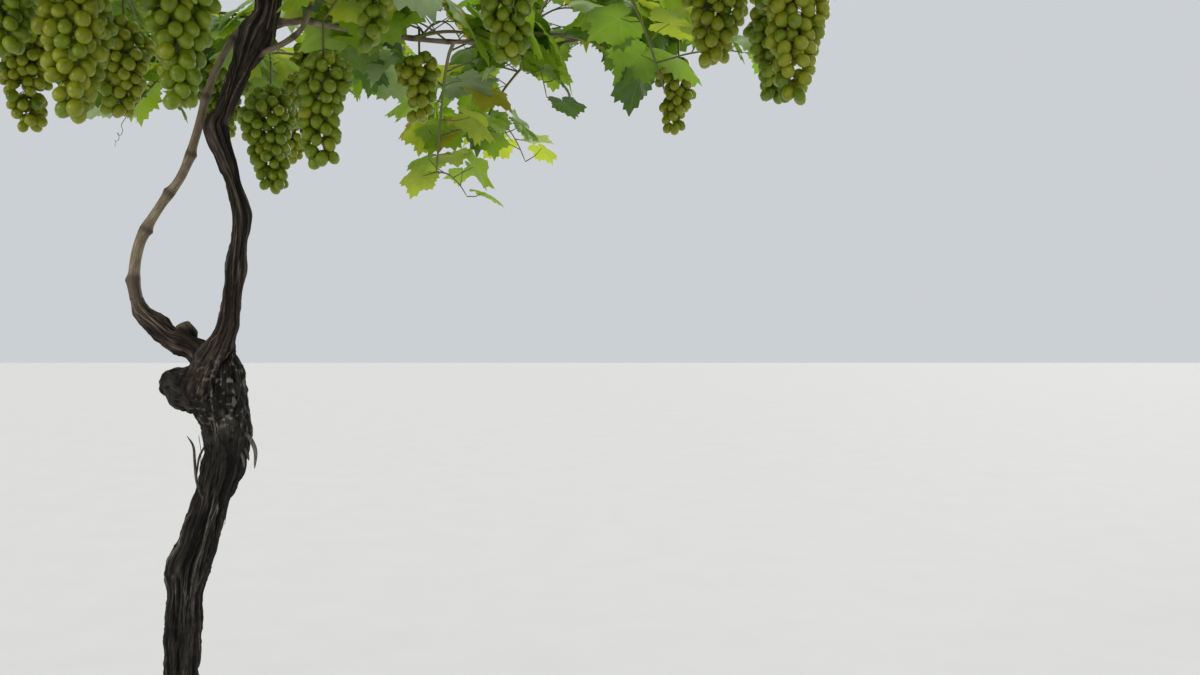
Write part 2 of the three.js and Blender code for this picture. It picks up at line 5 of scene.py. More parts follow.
import bmesh
import bpy
import numpy as np
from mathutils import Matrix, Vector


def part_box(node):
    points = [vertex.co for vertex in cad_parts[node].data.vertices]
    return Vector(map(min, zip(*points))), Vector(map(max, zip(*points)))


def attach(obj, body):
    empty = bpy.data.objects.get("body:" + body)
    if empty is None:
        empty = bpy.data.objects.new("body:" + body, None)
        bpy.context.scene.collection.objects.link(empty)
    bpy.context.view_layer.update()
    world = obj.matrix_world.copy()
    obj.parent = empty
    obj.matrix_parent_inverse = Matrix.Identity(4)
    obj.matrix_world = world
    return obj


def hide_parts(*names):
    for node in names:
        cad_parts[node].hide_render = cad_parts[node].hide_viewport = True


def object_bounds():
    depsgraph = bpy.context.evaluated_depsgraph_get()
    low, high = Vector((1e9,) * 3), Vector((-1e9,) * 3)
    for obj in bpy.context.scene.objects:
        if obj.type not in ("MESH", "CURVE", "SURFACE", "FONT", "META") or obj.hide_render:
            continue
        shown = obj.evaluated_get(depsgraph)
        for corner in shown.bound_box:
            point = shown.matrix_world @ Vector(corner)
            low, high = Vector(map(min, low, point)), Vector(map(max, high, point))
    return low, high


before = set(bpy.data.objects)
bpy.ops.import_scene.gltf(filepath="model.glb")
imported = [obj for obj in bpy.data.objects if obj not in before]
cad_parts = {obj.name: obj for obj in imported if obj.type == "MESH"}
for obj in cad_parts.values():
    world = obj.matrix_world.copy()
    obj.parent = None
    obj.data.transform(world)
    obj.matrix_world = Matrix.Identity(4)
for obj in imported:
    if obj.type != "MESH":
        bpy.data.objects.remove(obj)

CAD_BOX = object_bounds()

for name in ["Cube", "Light", "Camera"]:
    if name in bpy.data.objects:
        bpy.data.objects.remove(bpy.data.objects[name])

# Sizes are in millimetres, as in the part's source, and meshes are made in metres
MM = 0.001
UP = np.array([0.0, 0.0, 1.0])

# Wood: stations of [x, y, z, radius]
TRUNK = [
    [1, -1, -40, 70], [0, 0, 0, 62], [-2, 2, 50, 51], [-7, 5, 130, 44], [-13, 10, 320, 38], [-8, 9, 540, 34],
    [10, 3, 765, 34], [16, 1, 850, 35], [21, 0, 890, 32], [28, 0, 946, 40], [43, 0, 984, 35],
    [55, 0, 1020, 34], [72, 0, 1072, 33], [92, 0, 1133, 41], [97, 0, 1190, 46], [92, 2, 1240, 46],
    [95, 4, 1288, 40], [92, 6, 1330, 16],
]
LOW_KNOB = [[92, -4, 1240, 40], [59, -6, 1260, 41], [24, -8, 1268, 38], [-4, -6, 1282, 28]]
UPPER_STUB = [
    [84, 4, 1292, 22], [62, 3, 1312, 22], [40, 1, 1336, 22], [16, 0, 1349, 26], [-4, 1, 1358, 21],
    [-28, 4, 1379, 22], [-57, 10, 1402, 17], [-68, 12, 1424, 13],
]
SPUR = [[28, 0, 1350, 14], [26, -1, 1369, 14], [22, -3, 1380, 11]]
ARM = [
    [50, -15, 1244, 17], [56, -26, 1270, 26], [68, -22, 1304, 27], [85, -14, 1338, 23], [99, -8, 1369, 21],
    [105, -2, 1406, 18], [108, 0, 1437, 17], [112, 4, 1478, 20], [119, 6, 1524, 16], [123, 6, 1575, 18],
    [109, 3, 1638, 15], [98, 0, 1674, 18], [84, -2, 1728, 24], [96, -1, 1756, 17], [112, 0, 1796, 17],
    [127, 0, 1834, 19], [143, 0, 1870, 28], [157, 0, 1896, 32], [173, 0, 1932, 23], [177, 0, 1966, 24],
    [178, 0, 2002, 38], [178, 0, 2030, 26],
]
LEFT_CANE = [
    [-68, 12, 1424, 11.5], [-74, 16, 1459, 10], [-70, 18, 1504, 9.5], [-57, 20, 1545, 9], [-27, 20, 1593, 8],
    [12, 22, 1650, 8], [36, 26, 1720, 7.6], [58, 30, 1805, 7], [82, 38, 1866, 6.8], [112, 48, 1916, 6.6],
    [152, 58, 1928, 6.5], [200, 62, 1932, 6.4],
]
SIDE_SHOOT = [
    [140, -4, 1852, 5.5], [205, -10, 1877, 5], [237, -10, 1903, 4.6], [252, -4, 1945, 4.4],
    [258, 6, 1974, 4.2],
]
RIB_DEPTH = 0.09
FLARE_LOBES = 0.17
FLARE_HEIGHT = 90

# The crown
FORK = np.array([178.0, 0.0, 2003.0])
CROWN_REACH = 1060
CROWN_TOP = 2400
CROWN_SKIRT = 1600
SECTOR_SPAN = math.radians(60)
SECTOR_GAP = 12
MIDDLE_REACH = 330
MIDDLE_FLOOR = 2042
MIDDLE_CLEARANCE = 24
CANE_REACH = 240
CANE_ROOT_RADIUS = 9.5
CANE_TIP_RADIUS = 7.5
CANE_SWAY = 18
CANE_LIFT = 8
STEM_LEAD = 30
STEM_LEGS = 3
STEM_MARGIN = 100
STEM_ROOT_RADIUS = CANE_TIP_RADIUS - 0.6
STEM_TIP_RADIUS = 4
STEM_SWAY = 34
STEM_LIFT = 22
MIDDLE_RISE = [0, 40, 110, 190]
MIDDLE_DRIFT = [9, -6]
SHOOT_SPACING = 84
MIDDLE_SHOOT_SPACING = 26
MIDDLE_SHOOT_SHARE = 0.78
MIDDLE_TURN = 137.5
FIRST_SHOOT = 0.7
SHOOT_TRIES = 5
SHOOT_TURN_IN = 0.18
SHOOT_SHORTEN = 0.12
SHOOT_MARGIN = 24
SHOOT_CLEARANCE = 12
SHOOT_STEPS = 3
INNER_SHOOTS = 2
INNER_KIND = {"spread": [88, 118], "climb": [8, 20], "sag": 0.3, "length": [200, 260]}
SHOOT_KINDS = [
    {"spread": [48, 78], "climb": [14, 28], "sag": 0.36, "length": [330, 450]},
    {"spread": [20, 70], "climb": [42, 58], "sag": 0.24, "length": [300, 400]},
    {"spread": [40, 70], "climb": [18, 32], "sag": 0.42, "length": [330, 450]},
    {"spread": [50, 80], "climb": [4, 14], "sag": 0.72, "length": [280, 380]},
]
BEARING_RISE = 0.22
BEARING_SHARES = [0, 0.35, 0.7, 1]
BEARING_STARTS = 40
LEAF_CLEARANCE = 4
CLUSTER_LENGTH = [190, 240]
CLUSTER_WIDTH = [105, 130]
CLUSTER_SPACING = 170
CLUSTER_MARGIN = 6
CLUSTER_GIRTH = 0.56
PEDUNCLE_LENGTH = 55

# Masses of the crown. Clusters counts the bunches that the rule adds, barren the shoots that bear none, via
# gives places that a stem passes, and a bunch with a place of its own is [x, y, z, length, width]
MASSES = [
    {
        "name": "foliage_back_right", "azimuth": 50, "seed": 5021, "clusters": 0, "barren": 0,
        "via": [[310, 140, 1936], [478, 212, 1932], [690, 380, 1985]],
        "bunches": [[413, 187, 1834, 132, 90], [938, 500, 1880, 160, 98]],
    },
    {
        "name": "foliage_back", "azimuth": 110, "seed": 1103, "clusters": 3, "barren": 0,
        "bunches": [[101, 270, 1746, 212, 124], [-76, 450, 1872, 165, 92]],
    },
    {"name": "foliage_left", "azimuth": 170, "seed": 1709, "clusters": 4, "barren": 0, "bunches": []},
    {
        "name": "foliage_front_left", "azimuth": 230, "seed": 2309, "clusters": 3, "barren": 0,
        "bunches": [[43, -450, 1757, 190, 100], [-58, -462, 1838, 170, 96]],
    },
    {
        "name": "foliage_front", "azimuth": 290, "seed": 2903, "clusters": 3, "barren": 5,
        "bunches": [[178, -450, 1790, 226, 112], [405, -205, 1884, 145, 72], [330, -880, 1870, 200, 112]],
    },
    {
        "name": "foliage_right", "azimuth": 350, "seed": 3511, "clusters": 3, "barren": 5,
        "bunches": [[277, -20, 1757, 204, 112], [606, -140, 1908, 192, 108], [1085, 70, 1880, 190, 108]],
    },
    {"name": "foliage_middle", "azimuth": None, "seed": 4001, "clusters": 0, "barren": 0, "bunches": []},
]

# Openings of the crown that show sky: straight gaps from a start to an end, with a radius
OPENINGS = [
    [[599, -900, 1664], [316, 1040, 2115], 38],
    [[678, -900, 1628], [532, 1040, 2018], 22],
    [[749, -900, 1650], [723, 1040, 2077], 28],
    [[729, -900, 1690], [670, 1040, 2185], 25],
    [[451, -900, 1674], [-83, 1040, 2142], 26],
    [[867, -900, 1646], [1042, 1040, 2067], 24],
    [[974, -900, 1692], [1333, 1040, 2191], 28],
    [[393, -900, 1702], [-240, 1040, 2218], 18],
]


# Seeded numbers and smooth lines

class Draw:
    """The Park-Miller generator: the same seed always grows the same vine."""

    def __init__(self, seed):
        self.state = seed

    def __call__(self):
        self.state = self.state * 48271 % 2147483647
        return self.state / 2147483647

    def between(self, limits):
        return limits[0] + (limits[1] - limits[0]) * self()

    def signed(self):
        return 2 * self() - 1


def unit(vector):
    return vector / np.linalg.norm(vector)


ARC_STEPS = 200
TANGENT_STEP = 0.0001
FIRST_SIDE = np.array([1, 0.2, 0.1])


class Line:
    """A smooth Catmull-Rom line through points, read by share or by share of its length."""

    def __init__(self, points):
        self.points = np.array(points, float)
        self.shares = np.linspace(0, 1, ARC_STEPS + 1)
        steps = np.linalg.norm(np.diff(self.at(self.shares), axis=0), axis=1)
        self.arcs = np.concatenate([[0], np.cumsum(steps)])
        self.length = self.arcs[-1]

    def at(self, shares):
        shares = np.atleast_1d(shares)
        points, last = self.points, len(self.points) - 1
        index = np.minimum((shares * last).astype(int), last - 1)
        part = (shares * last - index)[:, None]
        first, second = points[index], points[index + 1]
        before = np.where((index > 0)[:, None], points[index - 1], 2 * points[0] - points[1])
        beyond = 2 * points[last] - points[last - 1]
        after = np.where((index + 2 <= last)[:, None], points[np.minimum(index + 2, last)], beyond)
        leave, arrive = 0.5 * (second - before), 0.5 * (after - first)
        cube = 2 * first - 2 * second + leave + arrive
        square = -3 * first + 3 * second - 2 * leave - arrive
        return cube * part**3 + square * part**2 + leave * part + first

    def tangent(self, shares):
        shares = np.atleast_1d(shares)
        ahead = self.at(np.minimum(shares + TANGENT_STEP, 1)) - self.at(np.maximum(shares - TANGENT_STEP, 0))
        return ahead / np.linalg.norm(ahead, axis=1)[:, None]

    def share_of(self, arc_share):
        return np.interp(np.asarray(arc_share) * self.length, self.arcs, self.shares)

    def point_at(self, arc_share):
        return self.at(self.share_of(arc_share))[0]

    def tangent_at(self, arc_share):
        return self.tangent(self.share_of(arc_share))[0]


def carried_frames(line, shares):
    """Places and square axes along a line, carried on from ring to ring without a twist."""
    alongs = line.tangent(shares)
    across = FIRST_SIDE
    rows = []
    for along in alongs:
        across = unit(across - across.dot(along) * along)
        rows.append(across)
    acrosses = np.array(rows)
    return line.at(shares), alongs, acrosses, np.cross(alongs, acrosses)


class Limb:
    """A limb of the source: a smooth line and a radius that eases from station to station."""

    def __init__(self, name, stations, steps_per_station=2, rib_depth=0.0, tip_rise=0.0, flare=False):
        self.name = name
        self.stations = np.array(stations, float)
        self.line = Line(self.stations[:, :3])
        self.steps = steps_per_station * (len(stations) - 1)
        self.rib_depth = rib_depth
        self.tip_rise = tip_rise
        self.flare = flare

    def radius(self, shares):
        place = np.atleast_1d(shares) * (len(self.stations) - 1)
        index = np.minimum(place.astype(int), len(self.stations) - 2)
        part = place - index
        low, high = self.stations[index, 3], self.stations[index + 1, 3]
        return low + (high - low) * eased(part)

    def skin(self, shares, angles):
        wide = np.sin(3 * angles + 5 * shares + 0.8)
        fine = np.sin(5 * angles - 7 * shares + 2.1)
        radius = self.radius(shares) * (1 + self.rib_depth * (0.6 * wide + 0.4 * fine))
        if self.flare:
            height = self.line.at(shares)[:, 2]
            spread = FLARE_LOBES * np.exp(-np.maximum(height, 0) / FLARE_HEIGHT)
            radius = radius * (1 + spread * np.sin(5 * angles + 0.6))
        return radius

    def rods(self):
        places = self.line.at(np.linspace(0, 1, self.steps + 1))
        radii = self.radius((np.arange(self.steps) + 0.5) / self.steps)
        return [(places[i], places[i + 1], radii[i], None) for i in range(self.steps)]


def eased(part):
    return part * part * (3 - 2 * part)


# Growth rule of the source

def direction_of(azimuth):
    angle = math.radians(azimuth)
    return np.array([math.cos(angle), math.sin(angle), 0.0])


def azimuth_of(direction):
    return math.degrees(math.atan2(direction[1], direction[0]))


class Space:
    """A mass's own room: a sector round the fork, or the middle above it."""

    def __init__(self, mass):
        self.azimuth = mass["azimuth"]

    def holds(self, points, margin):
        """Whether every given point lies inside by the margin."""
        points = np.atleast_2d(points)
        if self.azimuth is None:
            return self.in_middle(points, min(margin, 0))
        return self.in_sector(points, margin)

    def in_middle(self, points, margin):
        away = np.hypot(points[:, 0] - FORK[0], points[:, 1] - FORK[1])
        inside = (away < MIDDLE_REACH - margin) & (points[:, 2] > MIDDLE_FLOOR + margin)
        return bool((inside & (points[:, 2] < CROWN_TOP)).all())

    def in_sector(self, points, margin):
        outward = direction_of(self.azimuth)
        sideways = np.cross(UP, outward)
        away = points - FORK
        distance = np.hypot(away[:, 0], away[:, 1])
        half = SECTOR_SPAN / 2
        side_room = away @ outward * math.sin(half) - np.abs(away @ sideways) * math.cos(half)
        inside = (side_room >= SECTOR_GAP / 2 + margin) & (distance <= CROWN_REACH)
        inside &= (points[:, 2] >= CROWN_SKIRT) & (points[:, 2] <= CROWN_TOP)
        over_middle = points[:, 2] > MIDDLE_FLOOR - MIDDLE_CLEARANCE
        inside &= ~(over_middle & (distance < MIDDLE_REACH + MIDDLE_CLEARANCE + min(margin, 0)))
        return bool(inside.all())


class Obstacles:
    """Rods of [start, end, radius, owner] that growth keeps clear of."""

    def __init__(self, rods):
        self.rods = rods
        self.starts = np.array([rod[0] for rod in rods])
        self.spans = np.array([rod[1] for rod in rods]) - self.starts
        self.squares = np.maximum((self.spans**2).sum(axis=1), 1e-9)
        self.radii = np.array([rod[2] for rod in rods])

    def distance(self, points):
        """Distance of each point from the nearest rod's skin."""
        away = np.atleast_2d(points)[:, None, :] - self.starts[None]
        share = np.clip((away * self.spans).sum(axis=2) / self.squares, 0, 1)
        gaps = np.linalg.norm(away - share[:, :, None] * self.spans, axis=2)
        return (gaps - self.radii).min(axis=1)

    def clear(self, points, room):
        return bool((self.distance(points) > room).all())

    def without(self, owner):
        return Obstacles([rod for rod in self.rods if rod[3] != owner])


def stem_points(mass, start, heading, draw):
    if mass["azimuth"] is None:
        drift = np.array([*MIDDLE_DRIFT, 0])
        return [start + drift * index + UP * height for index, height in enumerate(MIDDLE_RISE)]
    outward = direction_of(mass["azimuth"])
    sideways = np.cross(UP, outward)
    via = [np.array(place, float) for place in mass.get("via", [])]
    points = [start, start + STEM_LEAD * heading, *via]
    reached = (points[-1] - FORK).dot(outward)
    legs = 1 if via else STEM_LEGS
    end = CROWN_REACH - STEM_MARGIN
    for leg in range(1, legs + 1):
        point = FORK + outward * (reached + (end - reached) * leg / legs)
        point = point + sideways * STEM_SWAY * draw.signed()
        point[2] += STEM_LIFT * draw.signed()
        points.append(point)
    return points


def shoot_points(start, azimuth, climb, sag, length):
    flat = direction_of(azimuth) * math.cos(climb)
    points = []
    for step in range(SHOOT_STEPS + 1):
        share = step / SHOOT_STEPS
        point = start + flat * length * share
        point[2] += length * (math.sin(climb) * share - sag * share * share)
        points.append(point)
    return points


def grow_shoot(mass, space, line, share, index, draw, obstacles):
    middle = mass["azimuth"] is None
    inner = index < INNER_SHOOTS and not middle
    kind = INNER_KIND if inner else SHOOT_KINDS[index % len(SHOOT_KINDS)]
    start = line.point_at(share)
    heading = azimuth_of(line.tangent_at(share))
    side = 1 if index % 2 else -1
    spread = MIDDLE_TURN * index if middle else side * draw.between(kind["spread"])
    climb = math.radians(draw.between(kind["climb"]))
    length = draw.between(kind["length"]) * (MIDDLE_SHOOT_SHARE if middle else 1)
    for attempt in range(SHOOT_TRIES):
        turned = heading + spread * (1 if middle else 1 - SHOOT_TURN_IN * attempt)
        points = shoot_points(start, turned, climb, kind["sag"], length * (1 - SHOOT_SHORTEN * attempt))
        if space.holds(points[1:], SHOOT_MARGIN) and obstacles.clear(points[2:], SHOOT_CLEARANCE):
            return points
    return None


def bearing_shoot(line, place, length):
    """A shoot that leaves the stem where it passes nearest and arches over to a bunch's stalk."""
    hang = np.array(place, float) + UP * (length / 2 + PEDUNCLE_LENGTH)
    starts = line.at(line.share_of(np.arange(1, BEARING_STARTS) / BEARING_STARTS))
    start = starts[np.argmin(np.linalg.norm(starts - hang, axis=1))]
    rise = BEARING_RISE * np.linalg.norm(start - hang)
    return [start + (hang - start) * share + UP * rise * 4 * share * (1 - share) for share in BEARING_SHARES]


def cluster_at(hang, length, width, seed):
    top = hang - UP * PEDUNCLE_LENGTH
    bottom = top - UP * length
    return {"hang": hang, "top": top, "bottom": bottom, "length": length, "width": width, "seed": seed}


def seeded_clusters(mass, space, shoots, draw, others, hung):
    added = []
    for points in shoots[mass["barren"]:]:
        if len(added) >= mass["clusters"]:
            break
        length = draw.between(CLUSTER_LENGTH)
        width = draw.between(CLUSTER_WIDTH)
        cluster = cluster_at(points[1], length, width, mass["seed"] + 20 + len(added))
        rim = [cluster["top"], cluster["bottom"]]
        gaps = [np.linalg.norm(other["top"] - cluster["top"]) for other in hung + added]
        apart = all(gap > CLUSTER_SPACING for gap in gaps)
        inside = space.holds(rim, width / 2 + CLUSTER_MARGIN)
        if apart and inside and others.clear(rim, width / 2 + LEAF_CLEARANCE):
            added.append(cluster)
    return added


def grow_skeleton(mass, start, heading, obstacles):
    """The stem, shoots and bunches of one mass, as the source draws them."""
    space = Space(mass)
    draw = Draw(mass["seed"])
    stem = Line(stem_points(mass, start, heading, draw))
    spacing = MIDDLE_SHOOT_SPACING if mass["azimuth"] is None else SHOOT_SPACING
    count = int(stem.length / spacing)
    shoots = []
    for index in range(count):
        share = (index + FIRST_SHOOT) / count
        points = grow_shoot(mass, space, stem, share, index, draw, obstacles)
        if points:
            shoots.append(points)
    clusters = []
    for index, (*place, length, width) in enumerate(mass["bunches"]):
        points = bearing_shoot(stem, place, length)
        shoots.append(points)
        clusters.append(cluster_at(points[-1], length, width, mass["seed"] + 10 + index))
    clusters += seeded_clusters(mass, space, shoots, draw, obstacles.without(mass["name"]), clusters)
    return {"stem": stem, "shoots": [Line(points) for points in shoots], "clusters": clusters}


def rod_of_bunch(bunch, owner):
    *place, length, width = bunch
    half = UP * length / 2
    return (place + half, place - half, CLUSTER_GIRTH * width, owner)


def fork_cane(mass):
    draw = Draw(mass["seed"] + 1)
    outward = direction_of(mass["azimuth"])
    sway = np.cross(UP, outward) * CANE_SWAY * draw.signed()
    middle = FORK + outward * CANE_REACH / 2 + sway + UP * CANE_LIFT
    stations = [
        [*FORK, CANE_ROOT_RADIUS],
        [*middle, (CANE_ROOT_RADIUS + CANE_TIP_RADIUS) / 2],
        [*(FORK + outward * CANE_REACH), CANE_TIP_RADIUS],
    ]
    return Limb(mass["name"].replace("foliage", "cane"), stations, steps_per_station=3)


# Smooth repeatable noise, for relief

def hashed(cells, seed):
    x, y, z = cells[:, 0], cells[:, 1], cells[:, 2]
    mixed = (x * 73856093) ^ (y * 19349663) ^ (z * 83492791) ^ (seed * 26544357)
    mixed = (mixed & 0xFFFFFFFF) * 2246822519
    mixed = ((mixed >> 15) ^ mixed) & 0xFFFFFFFF
    mixed = (mixed * 3266489917) >> 8
    return (mixed & 0xFFFF) / 32767.5 - 1


def noise(points, seed):
    """Values from -1 to 1 that change smoothly over a distance of about one."""
    base = np.floor(points).astype(np.int64)
    ease = eased(points - base)
    total = np.zeros(len(points))
    for corner in range(8):
        bits = np.array([corner & 1, corner >> 1 & 1, corner >> 2 & 1])
        weights = np.where(bits, ease, 1 - ease).prod(axis=1)
        total += weights * hashed(base + bits, seed)
    return total


def bell(distance, width):
    return np.exp(-((distance / width) ** 2))


def clipped(values):
    return np.clip(values, 0, 1)


# Meshes

def grid_faces(rings, sides):
    """Triangles between rings of corners that close round."""
    ring, side = np.meshgrid(np.arange(rings - 1), np.arange(sides), indexing="ij")
    after = (side + 1) % sides
    low, high = ring * sides, (ring + 1) * sides
    first = np.stack([low + side, low + after, high + after], axis=-1)
    second = np.stack([low + side, high + after, high + side], axis=-1)
    return np.concatenate([first.reshape(-1, 3), second.reshape(-1, 3)])


def fan_faces(centre, ring_start, sides, turned=False):
    side = np.arange(sides)
    after = (side + 1) % sides
    pair = (ring_start + after, ring_start + side) if turned else (ring_start + side, ring_start + after)
    return np.stack([np.full(sides, centre), *pair], axis=1)


def tube_faces(rings, sides):
    """Faces of a closed tube. The middles of its ends come after the corners of its skin."""
    foot = rings * sides
    ends = [fan_faces(foot, 0, sides, turned=True), fan_faces(foot + 1, foot - sides, sides)]
    return np.concatenate([grid_faces(rings, sides), *ends])


def ring_angles(rings, sides):
    return np.tile(2 * math.pi * np.arange(sides) / sides, rings)


def standing_out(angles, acrosses, others):
    """Directions that point out from a line at the given angles round it."""
    return np.cos(angles)[:, None] * acrosses + np.sin(angles)[:, None] * others


def wrapped(angles, girth, heights):
    """Places on an upright cylinder, where noise and grain are read."""
    return np.stack([np.cos(angles) * girth, np.sin(angles) * girth, heights], axis=1)


class Bundle:
    """Corners, faces, material numbers and named corner values that become one piece."""

    def __init__(self):
        self.corners, self.faces, self.slots, self.values = [], [], [], {}
        self.count = 0

    def add(self, corners, faces, slot=0, **values):
        self.corners.append(corners)
        self.faces.append(faces + self.count)
        self.slots.append(np.full(len(faces), slot))
        for name, value in values.items():
            self.values.setdefault(name, []).append(value)
        self.count += len(corners)

    def mesh(self, name, materials):
        corners = np.concatenate(self.corners)
        faces = np.concatenate(self.faces).astype(np.int32)
        mesh = bpy.data.meshes.new(name)
        mesh.vertices.add(len(corners))
        mesh.vertices.foreach_set("co", (corners * MM).ravel())
        mesh.loops.add(faces.size)
        mesh.loops.foreach_set("vertex_index", faces.ravel())
        mesh.polygons.add(len(faces))
        mesh.polygons.foreach_set("loop_start", np.arange(0, faces.size, 3, dtype=np.int32))
        mesh.polygons.foreach_set("material_index", np.concatenate(self.slots).astype(np.int32))
        for value_name, parts in self.values.items():
            value = np.concatenate(parts)
            kind, field = ("FLOAT_VECTOR", "vector") if value.ndim == 2 else ("FLOAT", "value")
            mesh.attributes.new(value_name, kind, "POINT").data.foreach_set(field, value.ravel())
        for material in materials:
            mesh.materials.append(material)
        mesh.update(calc_edges=True)
        mesh.validate()
        mesh.shade_smooth()
        return mesh

    def piece(self, name, materials, slot="foliage", replaced=()):
        made = bpy.data.objects.new(name, self.mesh(name, materials))
        bpy.context.scene.collection.objects.link(made)
        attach(made, "root")
        if replaced:
            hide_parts(*replaced)


def tube(bundle, frames, radii, **values):
    """A closed tube. radii is an array of rings by sides."""
    places, _, acrosses, others = frames
    rings, sides = radii.shape
    acrosses, others = np.repeat(acrosses, sides, axis=0), np.repeat(others, sides, axis=0)
    out = standing_out(ring_angles(rings, sides), acrosses, others)
    skin = np.repeat(places, sides, axis=0) + radii.reshape(-1, 1) * out
    bundle.add(np.concatenate([skin, places[:1], places[-1:]]), tube_faces(rings, sides), **values)


def twig(bundle, line, root_radius, tip_radius, sides, step, reach=1.0):
    """A thin tapering twig with a rounded tip, over a share of its line, without relief of its own."""
    rings = max(3, int(line.length * reach / step) + 1)
    frames = carried_frames(line, line.share_of(np.linspace(0, reach, rings)))
    radii = root_radius + (tip_radius - root_radius) * np.linspace(0, 1, rings)
    radii[-1] *= 0.5
    tube(bundle, frames, np.repeat(radii[:, None], sides, axis=1))


# Bark

# Each limb's own bark: how wide the limb counts, width, length and twist of the strands, depth of the
# fissures, height of the strings and lumps, and how far the whole relief sinks into the bare skin
STYLE_TERMS = ["girth", "width", "length", "twist", "depth", "string", "lump", "sink"]
STYLE_ROWS = {
    "trunk": [40, 6.2, 105, 0.0016, 5.0, 3.4, 2.6, 4],
    "knob": [40, 9, 32, 0.004, 3.2, 1.6, 4.5, 3.2],
    "stub": [25, 6.5, 55, 0.003, 2.4, 1.8, 3.2, 2.4],
    "arm": [21, 6.2, 120, 0.0035, 2.0, 1.5, 1.8, 1.8],
}
STYLES = {name: dict(zip(STYLE_TERMS, row)) for name, row in STYLE_ROWS.items()}
FISSURE_WIDTH = 0.4
STRING_WIDTH = 0.13
HEAD_HEIGHT = 1232
HEAD_SPAN = 95
HEAD_LUMP = 5.5
HEAD_SMOOTHING = 0.6
KNOT_STRETCH = np.array([1, 1, 0.7])
FLAKE_STRETCH = np.array([1, 1, 1.4])
HEAD_CRACK = np.array([[117.0, -30.0, 1326.0], [121.0, -35.0, 1288.0], [144.0, -14.0, 1244.0]])
CRACK_WIDTH = 3.6
CRACK_DEPTH = 9
FILLET = 22
# Painted shade along the join where two limbs meet: its width and strength
CREASE_WIDTH = 5
CREASE_SHADE = 0.6
TIP_TAPER = 0.09

# Places where the bark has weathered pale, where painted light lightens it, and where painted shade darkens
# it with a negative amount: [x, y, z, reach, amount]
PALE_AND_PAINTED_LIGHT_PLACES = np.array([
    [94, -44, 1246, 34, 1.1], [109, -36, 1296, 26, 1.0], [100, -38, 1168, 44, -0.55],
    [20, -36, 1256, 44, -0.55], [24, -30, 820, 60, -0.45], [84, -42, 1312, 32, 0.6],
    [76, -30, 1034, 40, 0.5], [24, -28, 976, 30, 0.35], [0, -24, 560, 150, 0.2],
    [60, 40, 1180, 60, 0.4], [24, 34, 760, 140, 0.3], [-28, 0, 1388, 34, 0.75],
    [116, -14, 1600, 55, 0.35], [168, -16, 1905, 44, 0.4], [110, 18, 1480, 60, 0.3],
])
PALE_BASE = 0.55
PALE_WANDER = 0.16
PALE_SEED = 77
PALE_LIMIT = 1.15

# Fibres that hang loose beside the head: width, tone, and the places that each passes
LOOSE_FIBRES = [
    [5, 0.5, [[63, -25, 1066], [53, -31, 1101], [50, -33, 1140], [48, -34, 1166], [37, -34, 1184]]],
    [4, 0.4, [[66, -26, 1166], [57, -31, 1144], [53, -32, 1112]]],
    [8, 0.9, [[124, -15, 1194], [142, -20, 1180], [153, -20, 1156], [151, -18, 1124]]],
    [6, 0.6, [[122, -14, 1168], [137, -19, 1154], [141, -18, 1138]]],
    [5, 0.8, [[122, -20, 1160], [132, -25, 1146], [134, -24, 1126]]],
]
FIBRE_RINGS = 16

# Peeling strips: rings of each, how deep its root sits, and how far it lies off the bark
STRIP_RINGS = 12
STRIP_ROOT = 4.5
STRIP_GAP = 1.6

# Canes: girth on which the streaks are read, reach of a node's swelling below and above it and of its scar,
# and of the shade at the root
STREAK_GIRTH = 7.0
NODE_BELOW = 17
NODE_ABOVE = 11
SCAR_WIDTH = 5.5
ROOT_FADE = 42


def strand_space(angles, arcs, closing, style, finer=1.0):
    """Coordinates in which noise makes long strands that wind slowly round the limb."""
    reach = style["girth"] / style["width"] * finer * closing
    return wrapped(angles + style["twist"] * arcs, reach, arcs / style["length"] * finer)


def strand_relief(angles, arcs, closing, style, seed):
    """Plates between fissures darkened with painted shade, with raised strings of fibre that run along them.
    """
    space = strand_space(angles, arcs, closing, style)
    space += 0.6 * noise(space * 0.55 + 31, seed)[:, None]
    broad = noise(space, seed + 1)
    fine = noise(strand_space(angles, arcs, closing, style, 2.3) + 0.5 * broad[:, None], seed + 2)
    string_space = strand_space(angles, arcs, closing, style, 0.8)
    string_space[:, :2] *= 1 + 0.02 * noise(string_space * 2, seed + 6)[:, None]
    string = bell(noise(string_space + 17, seed + 7), STRING_WIDTH)
    ridge = clipped(np.abs(broad) / FISSURE_WIDTH) ** 0.65
    fine_ridge = clipped(np.abs(fine) / FISSURE_WIDTH) ** 0.7
    layers = (2.3 * broad + 0.35 * fine) % 1.0
    height = style["depth"] * (ridge - 0.75 + 0.34 * (fine_ridge - 0.7) + 0.3 * (layers - 0.5))
    height += style["string"] * string * (0.6 + 0.4 * fine_ridge)
    # Painted shade: darkest in the fissures, lifted on the raised strings
    cavity = clipped(0.95 * (1 - ridge) + 0.4 * (1 - fine_ridge) - 0.85 * string)
    tone = 0.5 + 0.5 * noise(space * 0.8 + 57, seed + 8)
    crest = clipped(0.26 * ridge * tone + 0.85 * string * (0.4 + 0.6 * tone) + 0.16 * fine)
    return height, cavity, crest


def knot_relief(places, seed):
    """Knobs, short cracks and flakes of gnarled wood, with painted shade in the cracks."""
    stretched = places * KNOT_STRETCH
    middle = noise(stretched / 13 + 7, seed + 5)
    small = noise(stretched / 5.5, seed + 9)
    crack = bell(middle, STRING_WIDTH)
    flakes = clipped((noise(places * FLAKE_STRETCH / 7 + 3, seed + 12) - 0.18) / 0.22)
    height = HEAD_LUMP * (0.8 * noise(stretched / 26, seed + 10) + 0.4 * middle + 0.2 * small) - 2.2 * crack
    height += 1.1 * flakes
    crest = clipped(0.06 + 0.2 * np.abs(middle) + 0.14 * small + 1.1 * flakes)
    return height, clipped(0.9 * crack - 0.3 * small - 0.6 * flakes), crest


